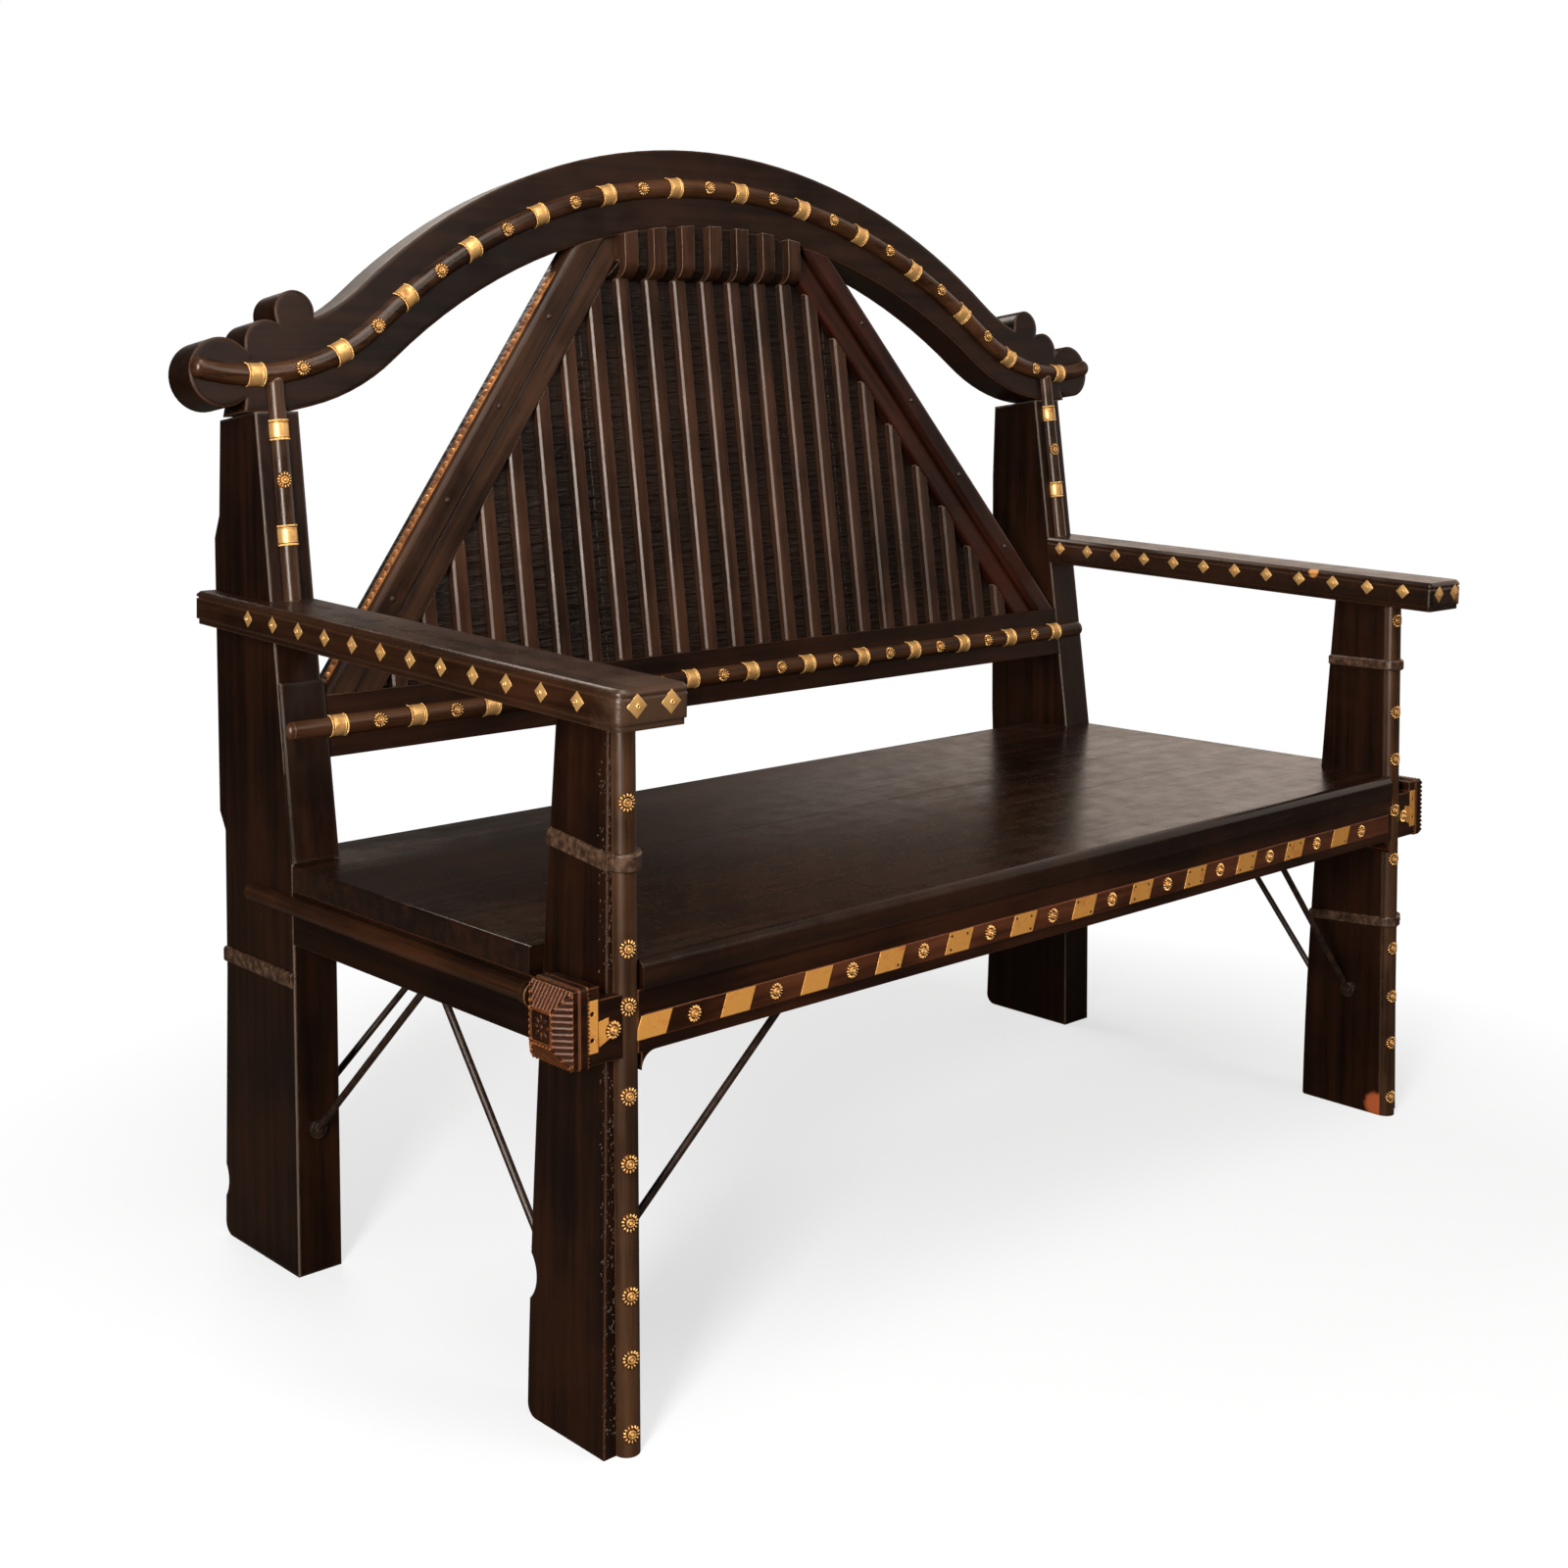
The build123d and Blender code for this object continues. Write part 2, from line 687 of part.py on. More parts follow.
# Half-round strap across the outer face of the left back leg
with BuildPart() as back_collar:
    strap_rear_y = rear_y - back_leg_ankle_cut
    with BuildSketch(slab_plane(-1, 0, frame_half_width + collar_proud)):
        with Locations((back_y, back_collar_height)):
            Rectangle(strap_rear_y - back_y, collar_height, align=(Align.MIN, Align.CENTER))
    extrude(amount=collar_proud)
    strap_rims = back_collar.faces().sort_by(Axis.X)[0].edges().filter_by(Axis.Y)
    fillet(strap_rims, back_collar_radius)
save(back_collar.part, "leg_collar_back")

# Seat boards, notched round the legs
front_notch_y = front_y + front_leg_depth_at(seat_bottom)
front_seam_y = seat_front_y + seat_front_board
rear_seam_y = front_seam_y + seat_middle_board
board_edges = {
    "front": (seat_front_y, front_seam_y),
    "middle": (front_seam_y, rear_seam_y),
    "rear": (rear_seam_y, seat_rear_y),
}
for name, (start, end) in board_edges.items():
    with BuildPart() as board:
        with BuildSketch(Plane.XY.offset(seat_bottom)):
            with Locations((0, start)):
                Rectangle(2 * frame_half_width, end - start, align=(Align.CENTER, Align.MIN))
            for side in (-1, 1):
                notch_side = Align.MIN if side > 0 else Align.MAX
                if name == "front":
                    with Locations((side * front_leg_inner, front_notch_y)):
                        Rectangle(
                            frame_half_width,
                            frame_half_width,
                            align=(notch_side, Align.MAX),
                            mode=Mode.SUBTRACT,
                        )
                if name == "rear":
                    with Locations((side * back_leg_inner, back_y)):
                        Rectangle(
                            frame_half_width,
                            frame_half_width,
                            align=(notch_side, Align.MIN),
                            mode=Mode.SUBTRACT,
                        )
        extrude(amount=seat_thickness)
        top_edges = board.faces().sort_by(Axis.Z)[-1].edges()
        across = top_edges.filter_by(Axis.X).group_by(Axis.Y)
        if name == "front":
            fillet(across[0], seat_edge_radius)
        else:
            chamfer(across[0], seat_seam_bevel)
        long_edges = board.faces().sort_by(Axis.Z)[-1].edges().filter_by(Axis.Y)
        outer_edges = [e for e in long_edges if abs(e.center().X) > frame_half_width - fit]
        fillet(outer_edges, seat_side_radius)
    save(board.part, f"seat_board_{name}")

# Beads along the sides, over the aprons and on to the back legs
for name, side in sides.items():
    bead_height = seat_top - side_bead_drop
    bead_length = back_y + side_bead_on_leg - apron_start_y
    start_plane = Plane.XZ.offset(-apron_start_y - bead_length)
    centre = (side * frame_half_width, bead_height)
    with BuildPart() as side_bead:
        add(half_round(start_plane, centre, side_bead_radius, bead_length, (side, 0)))
        stop_radius = side_bead_radius + side_bead_stop_proud
        stop_plane = Plane.XZ.offset(-apron_start_y - side_bead_stop_length)
        add(half_round(stop_plane, centre, stop_radius, side_bead_stop_length, (side, 0)))
    save(side_bead.part, f"side_bead_{name}")


# Arms: a lip, a body, a groove and a chamfered cap, let in round the posts
def arm(side):
    layers = (
        (0, arm_lip_height, arm_lip_inset),
        (arm_lip_height, arm_thickness - arm_cap_height - arm_groove_height, 0),
        (
            arm_thickness - arm_cap_height - arm_groove_height,
            arm_thickness - arm_cap_height,
            arm_groove_depth,
        ),
        (arm_thickness - arm_cap_height, arm_thickness, 0),
    )
    with BuildPart() as arm_rail:
        for low, high, inset in layers:
            with BuildSketch(arm_under_plane.offset(low)) as layer:
                with Locations((side * (arm_inner + arm_width / 2), arm_length / 2)):
                    Rectangle(arm_width - 2 * inset, arm_length - 2 * inset)
                inner, outer = (0, -1) if side > 0 else (-1, 0)
                for corner, radius in (
                    (outer, arm_corner_radius),
                    (inner, arm_inner_corner_radius),
                ):
                    front = layer.vertices().group_by(Axis.Y)[0].sort_by(Axis.X)
                    fillet(front[corner], radius - inset)
            extrude(amount=high - low)
        cap = arm_rail.faces().filter_by(arm_plane).sort_by(Axis.Z)[-1]
        chamfer(cap.edges(), arm_cap_chamfer)
        # notch round the post, from its raked front to the arm's end
        with BuildSketch(slab_plane(side, back_leg_inner - overrun, frame_half_width)):
            low, high = arm_front_height - arm_thickness, post_top
            with BuildLine():
                Polyline(
                    (raked_y(low), low),
                    (raked_y(high), high),
                    (rear_y + overrun, high),
                    (rear_y + overrun, low),
                    close=True,
                )
            make_face()
        extrude(amount=back_leg_thickness + overrun, mode=Mode.SUBTRACT)
        add(front_legs[side], mode=Mode.SUBTRACT)
    return arm_rail.part


arms = {}
for name, side in sides.items():
    arms[side] = arm(side)
    save(arms[side], f"arm_{name}")

# Crest rail, with three lobes at each end
crest_seat = up_rake(post_top)


# Outline of the crest between its two curves, without the lobes
with BuildSketch() as crest_band:
    with BuildLine():
        under_curve.arch_edge()
        for side in (-1, 1):
            under_curve.hollow_edge(side, crest_under_low_x)
            corner = (side * crest_end_half, crest_seat)
            Line((side * crest_under_low_x, crest_seat), corner)
            Line(corner, top_curve.hollow_point(side, crest_top_end))
            top_curve.hollow_edge(side, crest_top_end)
        top_curve.arch_edge()
    make_face()

# The crest's outline, deep enough to trim all that ends under it
with BuildPart() as crest_blank:
    with BuildSketch(back_plane.offset(cove_top + overrun)):
        add(crest_band.sketch)
    extrude(amount=-(crest_thickness + cove_top + 2 * overrun))

with BuildPart() as crest_rail:
    with BuildSketch(back_plane):
        add(crest_band.sketch)
        for side in (-1, 1):
            with Locations((side * tall_lobe_x, up_rake(tall_lobe_height))):
                Circle(tall_lobe_radius)
            with Locations((side * middle_lobe_x, up_rake(middle_lobe_height))):
                Circle(middle_lobe_radius)
            with Locations((side * outer_lobe_x, up_rake(outer_lobe_height))):
                Circle(outer_lobe_radius)
    extrude(amount=-crest_thickness)
    for side in (-1, 1):
        add(back_legs[side], mode=Mode.SUBTRACT)
save(crest_rail.part, "crest_rail")

# Bead along the crest
with BuildPart() as crest_bead:
    with BuildLine(back_plane) as bead_path:
        bead_curve.hollow_edge(-1, crest_bead_end)
        bead_curve.arch_edge()
        bead_curve.hollow_edge(1, crest_bead_end)
    with BuildSketch(Plane(origin=bead_path.line @ 0, z_dir=bead_path.line % 0)):
        RegularPolygon(crest_bead_radius, bead_sides)
    sweep(path=bead_path.line)
    split(bisect_by=back_plane, keep=Keep.TOP)
save(crest_bead.part, "crest_bead")

# Rod along the lower rail
with BuildPart(back_plane) as lower_rod:
    with Locations((0, up_rake(lower_rod_height))):
        Cylinder(lower_rod_radius, 2 * lower_rod_half_length, rotation=(0, 90, 0))
    split(bisect_by=back_plane, keep=Keep.TOP)
save(lower_rod.part, "lower_rod")

# Panel of the back, in the raked plane
panel_foot = up_rake(lower_rail_top)
panel_lean = (panel_foot_half - panel_shoulder_half) / (up_rake(panel_shoulder_height) - panel_foot)
lean_length = hypot(1, panel_lean)
panel_head = up_rake(crest_under_apex) + overrun
board_face = panel_board_thickness - panel_board_back


def slope_x(up, inset):
    """Distance from the middle of a line parallel to the panel's edge, at a height."""
    return panel_foot_half - (up - panel_foot) * panel_lean - inset * lean_length


def slope_strip(side, inset, width, foot, head):
    """Outline of a strip that runs along the panel's edge."""
    with BuildSketch() as strip:
        with BuildLine():
            Polyline(
                (side * slope_x(foot, inset), foot),
                (side * slope_x(head, inset), head),
                (side * slope_x(head, inset + width), head),
                (side * slope_x(foot, inset + width), foot),
                close=True,
            )
        make_face()
    return strip.sketch


board_spans = {
    "left": (-panel_foot_half, -panel_board_half_width),
    "centre": (-panel_board_half_width, panel_board_half_width),
    "right": (panel_board_half_width, panel_foot_half),
}
for name, (start, end) in board_spans.items():
    with BuildPart() as board:
        with BuildSketch(back_plane.offset(-panel_board_back)):
            with BuildLine():
                Polyline(
                    (-slope_x(panel_foot, 0), panel_foot),
                    (-slope_x(panel_head, 0), panel_head),
                    (slope_x(panel_head, 0), panel_head),
                    (slope_x(panel_foot, 0), panel_foot),
                    close=True,
                )
            make_face()
            with Locations((start, panel_foot)):
                Rectangle(
                    end - start,
                    panel_head - panel_foot,
                    align=(Align.MIN, Align.MIN),
                    mode=Mode.INTERSECT,
                )
        extrude(amount=panel_board_thickness)
        add(crest_blank.part, mode=Mode.SUBTRACT)
    save(board.part, f"panel_board_{name}")

# Slats: a row of rounded ribs that stop at the battens and below the cove
batten_total = outer_batten_width + inner_batten_width
cove_foot = up_rake(cove_bottom)
with BuildPart() as back_slats:
    with BuildSketch(back_plane.offset(board_face)):
        for index in range(slat_count):
            x = (index - (slat_count - 1) / 2) * slat_pitch
            with Locations((x, panel_foot)):
                Rectangle(slat_width, cove_foot - panel_foot, align=(Align.CENTER, Align.MIN))
        with BuildLine():
            Polyline(
                (-slope_x(panel_foot, batten_total), panel_foot),
                (-slope_x(cove_foot, batten_total), cove_foot),
                (slope_x(cove_foot, batten_total), cove_foot),
                (slope_x(panel_foot, batten_total), panel_foot),
                close=True,
            )
        make_face(mode=Mode.INTERSECT)
    extrude(amount=slat_thickness)
    slat_fronts = back_slats.faces().group_by(forward_axis)[-1]
    long_edges = slat_fronts.edges().filter_by(Axis(back_plane.origin, back_plane.y_dir))
    chamfer(long_edges, slat_edge_bevel)
save(back_slats.part, "back_slats")


# Battens along the slopes
def batten(side, inset, width, thickness, radius):
    with BuildPart() as strip:
        with BuildSketch(back_plane.offset(board_face)):
            add(slope_strip(side, inset, width, panel_foot, panel_head))
        extrude(amount=thickness)
        add(crest_blank.part, mode=Mode.SUBTRACT)
        front = strip.faces().sort_by(forward_axis)[-1]
        fillet(front.edges().sort_by(SortBy.LENGTH)[-2:], radius)
    return strip.part


inner_battens = []
for name, side in sides.items():
    save(
        batten(side, 0, outer_batten_width, outer_batten_thickness, outer_batten_radius),
        f"outer_batten_{name}",
    )
    inner_batten = batten(
        side, outer_batten_width, inner_batten_width, inner_batten_thickness, inner_batten_radius
    )
    inner_battens.append(inner_batten)
    save(inner_batten, f"inner_batten_{name}")

# Cove: a frieze under the crest, whose ribs round forward from the slats' tops
slat_face = board_face + slat_thickness
trapezoid_half = slope_x(cove_foot, batten_total)


def cove_piece(plane_x, width, foot_forward, face_forward, top_forward):
    """Slab across X whose front rounds forward from the ledge and then runs up."""
    origin = back_plane.from_local_coords((plane_x, 0, 0))
    side_view = Plane(origin=origin, x_dir=-back_plane.z_dir, z_dir=(1, 0, 0))
    with BuildPart() as piece:
        with BuildSketch(side_view):
            with BuildLine():
                rounding = face_forward - foot_forward
                curve = ThreePointArc(
                    (-foot_forward, cove_foot),
                    (
                        -foot_forward - rounding * cove_bend_shares[0],
                        cove_foot + cove_round * cove_bend_shares[1],
                    ),
                    (-face_forward, cove_foot + cove_round),
                )
                Polyline(
                    curve @ 1,
                    (-top_forward, panel_head),
                    (-board_face, panel_head),
                    (-board_face, cove_foot),
                    curve @ 0,
                )
            make_face()
        extrude(amount=width)
    return piece.part


with BuildPart() as cove_board:
    add(
        cove_piece(
            -trapezoid_half,
            2 * trapezoid_half,
            board_face + fit,
            cove_face - cove_rib_depth,
            cove_top - cove_rib_depth,
        )
    )
    with BuildSketch(back_plane.offset(board_face)):
        with BuildLine():
            Polyline(
                (-trapezoid_half, cove_foot),
                (-slope_x(panel_head, batten_total), panel_head),
                (slope_x(panel_head, batten_total), panel_head),
                (trapezoid_half, cove_foot),
                close=True,
            )
        make_face()
    extrude(amount=cove_top - board_face, mode=Mode.INTERSECT)
    add(crest_blank.part, mode=Mode.SUBTRACT)
save(cove_board.part, "cove_board")

with BuildPart() as cove_ribs:
    for index in range(cove_rib_count):
        x = (index - (cove_rib_count - 1) / 2) * slat_pitch - slat_width / 2
        add(cove_piece(x, slat_width, slat_face, cove_face, cove_top))
    add(cove_board.part, mode=Mode.SUBTRACT)
    add(crest_blank.part, mode=Mode.SUBTRACT)
    for strip in inner_battens:
        add(strip, mode=Mode.SUBTRACT)
save(cove_ribs.part, "cove_ribs")


# Brass on half-round beads: one band and one rosette for each radius, set out in rows
def band_for(radius, length):
    """Sheet folded over a bead that runs along X on the XY plane."""
    bore = radius + bead_bow
    with BuildPart() as band:
        with BuildSketch(Plane.YZ.offset(-length / 2)):
            RegularPolygon(bore + brass_sheet, brass_folds, major_radius=False)
            RegularPolygon(bore, brass_folds, major_radius=False, mode=Mode.SUBTRACT)
        extrude(amount=length)
        split(bisect_by=Plane.XY, keep=Keep.TOP)
    return band.part


def rosette_for(radius):
    """Round stamped sheet with a boss, folded over the crown of the same bead."""
    bore = radius + bead_bow
    with BuildPart() as rosette:
        add(band_for(radius, 3 * rosette_radius))
        with BuildSketch(Plane.XY):
            RegularPolygon(rosette_radius, rosette_sides)
        extrude(amount=2 * bore, mode=Mode.INTERSECT)
        with BuildSketch(Plane.XY.offset(bore + brass_sheet / 2)):
            RegularPolygon(rosette_boss_radius, rosette_boss_sides)
        extrude(amount=brass_sheet / 2 + rosette_boss_height)
    return rosette.part


def row(plane, piece, places, name, cutter=None):
    """Copies of a piece at places on a plane, as one group."""
    with BuildPart(plane) as group:
        with Locations(*places):
            add(piece)
    if cutter:
        with BuildPart() as trimmed:
            add(group.part)
            add(cutter, mode=Mode.SUBTRACT)
        group = trimmed
    save(group.part, name)
    return group.part


crest_station = bead_curve.low_distance / crest_station_count
crest_places = [
    bead_curve.station(step * crest_station)
    for step in range(-crest_station_count, crest_station_count + 1)
]
crest_bands = row(
    back_plane, band_for(crest_bead_radius, band_length), crest_places[0::2], "crest_bands"
)
row(back_plane, rosette_for(crest_bead_radius), crest_places[1::2], "crest_rosettes")

# Rods down the posts, from the crest's bead to the arms
for name, side in sides.items():
    rod_foot = up_rake(arm_front_height)
    with BuildPart() as post_rod:
        foot = back_plane.from_local_coords((side * post_middle, rod_foot, 0))
        with BuildSketch(Plane(origin=foot, x_dir=(1, 0, 0), z_dir=back_plane.y_dir)):
            Circle(post_rod_radius)
        extrude(amount=up_rake(crest_bead_low) - rod_foot)
        split(bisect_by=back_plane, keep=Keep.TOP)
        split(bisect_by=arm_plane, keep=Keep.TOP)
        add(crest_bead.part, mode=Mode.SUBTRACT)
        add(crest_bands, mode=Mode.SUBTRACT)
    save(post_rod.part, f"post_rod_{name}")

lower_station = (lower_rod_half_length - lower_station_inset) / lower_station_count
lower_places = [
    Location((step * lower_station, up_rake(lower_rod_height), 0))
    for step in range(-lower_station_count, lower_station_count + 1)
]
row(back_plane, band_for(lower_rod_radius, band_length), lower_places[0::2], "rail_bands")
row(back_plane, rosette_for(lower_rod_radius), lower_places[1::2], "rail_rosettes")

post_bands = [
    Location((side * post_middle, up_rake(height), 0), (0, 0, 90))
    for side in (-1, 1)
    for height in post_band_heights
]
post_rosettes = [
    Location((side * post_middle, up_rake(post_rosette_height), 0), (0, 0, 90)) for side in (-1, 1)
]
row(back_plane, band_for(post_rod_radius, post_band_length), post_bands, "post_bands")
row(back_plane, rosette_for(post_rod_radius), post_rosettes, "post_rosettes")

rosette_turn = Location((0, 0, 0), (-leg_rosette_turn, 0, 0))
leg_places = [
    Location((side * leg_bead_x, share * front_leg_height, 0), (0, 0, 90)) * rosette_turn
    for side, shares in ((-1, left_rosette_shares), (1, right_rosette_shares))
    for share in shares
]
row(front_plane, rosette_for(leg_bead_radius), leg_places, "leg_rosettes", front_beam.part)

# Band of brass plates and domed rosettes along the beam
band_height = seat_top - beam_plate_drop
beam_rosette_first = beam_rosette_left_inset - frame_half_width
beam_rosette_run = 2 * frame_half_width - beam_rosette_left_inset - beam_rosette_right_inset
beam_station = beam_rosette_run / (beam_station_count - 1)
with BuildPart() as beam_plates:
    with BuildSketch(beam_front_plane):
        for index in range(beam_station_count):
            x = beam_rosette_first + index * beam_station - beam_plate_lead
            half_length = beam_plate_length / 2
            half_height = beam_plate_height / 2
            lean = beam_plate_lean / 2
            with BuildLine():
                Polyline(
                    (x - half_length - lean, band_height - half_height),
                    (x + half_length - lean, band_height - half_height),
                    (x + half_length + lean, band_height + half_height),
                    (x - half_length + lean, band_height + half_height),
                    close=True,
                )
            make_face()
    extrude(amount=brass_sheet)
    # room for the leg's bead beside the first plate
    with Locations((-leg_bead_x, front_y, band_height)):
        Cylinder(leg_bead_radius + fit, 2 * beam_height, mode=Mode.SUBTRACT)
save(beam_plates.part, "beam_plates")

with BuildPart() as domed_rosette:
    with BuildSketch(Plane.XY):
        RegularPolygon(beam_rosette_radius, rosette_sides)
    extrude(amount=brass_sheet)
    dome_rise = beam_rosette_height - brass_sheet
    dome_foot = beam_rosette_radius - brass_sheet
    with BuildSketch(Plane.XY.offset(brass_sheet)):
        RegularPolygon(dome_foot, rosette_sides, major_radius=False)
    dome_taper = degrees(atan((dome_foot - rosette_boss_radius) / dome_rise))
    extrude(amount=dome_rise, taper=dome_taper)
beam_rosette_places = [
    Location((beam_rosette_first + index * beam_station, band_height, 0))
    for index in range(beam_station_count)
]
row(beam_front_plane, domed_rosette.part, beam_rosette_places, "beam_rosettes")

# Brass at the beam's ends: a nailed plate, a small wedge and a boss
end_plate_x = beam_shank - beam_fillet_width - beam_ring_width - end_plate_width / 2
with BuildPart() as end_plates:
    with BuildSketch(beam_front_plane):
        for side in (-1, 1):
            with Locations((side * (end_plate_x - fit), end_middle)):
                Rectangle(end_plate_width, end_plate_height)
            with Locations(
                (side * end_plate_x, end_middle - end_plate_height / 4),
                (side * end_plate_x, end_middle + end_plate_height / 4),
            ):
                RegularPolygon(end_plate_hole_radius, rosette_boss_sides, mode=Mode.SUBTRACT)
    extrude(amount=brass_sheet)
save(end_plates.part, "beam_end_plates")
boss_x = leg_bead_x + leg_bead_radius + beam_rosette_radius + brass_sheet
row(
    beam_front_plane,
    domed_rosette.part,
    [Location((side * boss_x, band_height, 0)) for side in (-1, 1)],
    "beam_end_bosses",
)

# Brass diamonds along the arms and on their front ends
with BuildPart() as diamond:
    with BuildSketch(Plane.XY):
        Rectangle(diamond_side, diamond_side, rotation=45)
    tip_inset = diamond_side * (1 - diamond_tip_share) / 2
    extrude(amount=diamond_height, taper=degrees(atan(tip_inset / diamond_height)))


def arm_face(x, faces):
    """Plane of an arm's long side at a distance across, with its X along the arm."""
    return Plane(
        origin=arm_plane.from_local_coords((x, 0, 0)),
        x_dir=faces * arm_plane.y_dir,
        z_dir=(faces, 0, 0),
    )


for name, side in sides.items():
    outer_face = arm_face(side * arm_outer, side)
    inner_face = arm_face(side * arm_inner, -side)
    end_face = Plane(origin=arm_plane.origin, x_dir=(1, 0, 0), z_dir=-arm_plane.y_dir)
    places = [
        outer_face.location
        * Location((side * (diamond_first + index * diamond_pitch), -diamond_drop, 0))
        for index in range(diamond_count)
    ]
    places += [
        inner_face.location
        * Location(
            (-side * (inner_diamond_first + index * inner_diamond_pitch), -inner_diamond_drop, 0)
        )
        for index in range(diamond_count)
    ]
    places += [
        end_face.location
        * Location((side * (arm_inner + arm_width / 2) + offset / 2, -inner_diamond_drop, 0))
        for offset in (-end_diamond_spacing, end_diamond_spacing)
    ]
    with BuildPart() as diamonds:
        with Locations(*places):
            add(diamond.part)
    save(diamonds.part, f"arm_diamonds_{name}")

# Brass strips along the panel's outer edges
strip_foot = panel_foot + strip_end_gap
strip_head = up_rake(panel_shoulder_height) - strip_end_gap
strip_back = board_face + (outer_batten_thickness - outer_batten_radius - strip_width)
for name, side in sides.items():
    with BuildPart() as strip:
        with BuildSketch(back_plane.offset(strip_back)):
            add(slope_strip(side, -brass_sheet, brass_sheet, strip_foot, strip_head))
        extrude(amount=strip_width)
    save(strip.part, f"edge_strip_{name}")

# Domed nails through the outer battens
with BuildPart() as batten_nails:
    nail_face = board_face + outer_batten_thickness
    nail_taper = degrees(atan(nail_radius / 2 / nail_height))
    with BuildSketch(back_plane.offset(nail_face)):
        for side in (-1, 1):
            for share in nail_height_shares:
                up = panel_foot + share * (up_rake(panel_shoulder_height) - panel_foot)
                with Locations((side * slope_x(up, outer_batten_width / 2), up)):
                    RegularPolygon(nail_radius, rosette_boss_sides)
    extrude(amount=nail_height, taper=nail_taper)
save(batten_nails.part, "batten_nails")


# Iron stays: a rod with a flattened eye, nailed to a leg and let in under the frame
def stay(eye, inward, foot_reach, head_height):
    """Eye is a point on the leg's face and inward the way that the rod leans."""
    into = Vector(*inward)
    centre = Vector(*eye)
    start = centre + into * (stay_eye_thickness / 2)
    head = Vector(eye[0] + into.X * foot_reach, eye[1] + into.Y * foot_reach, head_height)
    lean = (head - start).normalized()
    with BuildPart() as piece:
        with BuildSketch(Plane(origin=start, z_dir=lean)):
            RegularPolygon(stay_radius, stay_sides)
        extrude(amount=(head - start).length + 2 * stay_radius)
        split(bisect_by=Plane.XY.offset(head_height), keep=Keep.BOTTOM)
        with BuildSketch(Plane(origin=centre, z_dir=into)):
            RegularPolygon(stay_eye_radius, stay_sides)
        extrude(amount=stay_eye_thickness)
        split(bisect_by=Plane(origin=centre, z_dir=into), keep=Keep.TOP)
    with BuildPart() as nail:
        with BuildSketch(Plane(origin=centre + into * stay_eye_thickness, z_dir=into)):
            with Locations((0, 0)):
                RegularPolygon(stay_nail_radius, rosette_boss_sides)
        extrude(amount=stay_nail_height)
        add(piece.part, mode=Mode.SUBTRACT)
    return piece.part, nail.part


nails = []
for name, side in sides.items():
    reach = left_stay_reach if side < 0 else right_stay_reach
    inner_x = side * front_leg_inner
    side_x = side * (frame_half_width - side_stay_inset)
    leg_rear = front_y + front_leg_depth_at(stay_foot_height)
    places = {
        "front": (
            ((inner_x, front_y + front_stay_y, stay_foot_height), (-side, 0, 0), reach, beam_bottom),
            ((side_x, leg_rear, stay_foot_height), (0, 1, 0), front_side_stay_reach, apron_bottom),
        ),
        "back": (
            ((side_x, back_y, stay_foot_height), (0, -1, 0), back_side_stay_reach, apron_bottom),
            (
                (side * back_leg_inner, rail_front_y + rail_thickness / 2, stay_foot_height),
                (-side, 0, 0),
                back_stay_reach,
                apron_bottom,
            ),
        ),
    }
    for row_name, stays in places.items():
        with BuildPart() as pair:
            for place in stays:
                rod, nail = stay(*place)
                add(rod)
                nails.append(nail)
            if row_name == "front":
                add(front_legs[side], mode=Mode.SUBTRACT)
        save(pair.part, f"{row_name}_stays_{name}")
with BuildPart() as stay_nails:
    for nail in nails:
        add(nail)
save(stay_nails.part, "stay_nails")
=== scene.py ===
# %% [markdown]
# # A carved bench with brass studs
# The bench comes from a packed CAD model, which is the fixed frame of this scene: every
# board, leg and bead is already the right size and in the right place. This lesson gives
# each of them its finish, and makes the small things that a CAD model leaves out, such as
# beaded brass, carving and the marks of the chisel.

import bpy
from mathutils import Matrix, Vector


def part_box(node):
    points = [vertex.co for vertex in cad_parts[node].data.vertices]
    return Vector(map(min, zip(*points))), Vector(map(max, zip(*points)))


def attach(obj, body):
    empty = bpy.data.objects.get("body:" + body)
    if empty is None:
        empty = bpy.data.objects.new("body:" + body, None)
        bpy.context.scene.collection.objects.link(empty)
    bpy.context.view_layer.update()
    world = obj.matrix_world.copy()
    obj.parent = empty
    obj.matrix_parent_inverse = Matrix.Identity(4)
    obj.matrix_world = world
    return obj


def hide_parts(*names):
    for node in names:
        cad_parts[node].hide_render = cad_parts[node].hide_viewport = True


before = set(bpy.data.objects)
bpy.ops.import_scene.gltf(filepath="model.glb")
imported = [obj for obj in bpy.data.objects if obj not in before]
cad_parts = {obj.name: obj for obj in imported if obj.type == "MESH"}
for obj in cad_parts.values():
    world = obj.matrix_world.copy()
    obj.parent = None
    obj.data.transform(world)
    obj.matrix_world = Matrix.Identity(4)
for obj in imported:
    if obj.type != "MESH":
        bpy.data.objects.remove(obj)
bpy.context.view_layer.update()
print("CAD nodes:", len(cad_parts))

# %% [markdown]
# The other modules come after the frame. `bmesh` edits meshes, and `mathutils` has the
# vectors and matrices. Blender works in metres, and the bench's details are easier to read
# in millimetres, so one value turns the first into the second.

# %% Modules and units
from math import atan, cos, degrees, pi, radians, sin
from random import Random

import bmesh
import bpy
from mathutils import Matrix, Vector

MM = 0.001
scene = bpy.context.scene
scene.view_settings.view_transform = "Standard"
print("a millimetre is", MM, "of Blender's units")

# %% [markdown]
# ## The camera
# The camera stands where the photographer stood: to the left of the bench and in front of
# it, at the height of the arms' tops, looking a little down. Its three axes come from the
# way it is turned, its tilt and a slight roll. A track-to constraint could aim it too, but
# the three angles are what a solved photograph gives. The lens is shifted because the
# picture is cropped: the point straight ahead isn't in the middle of the frame.

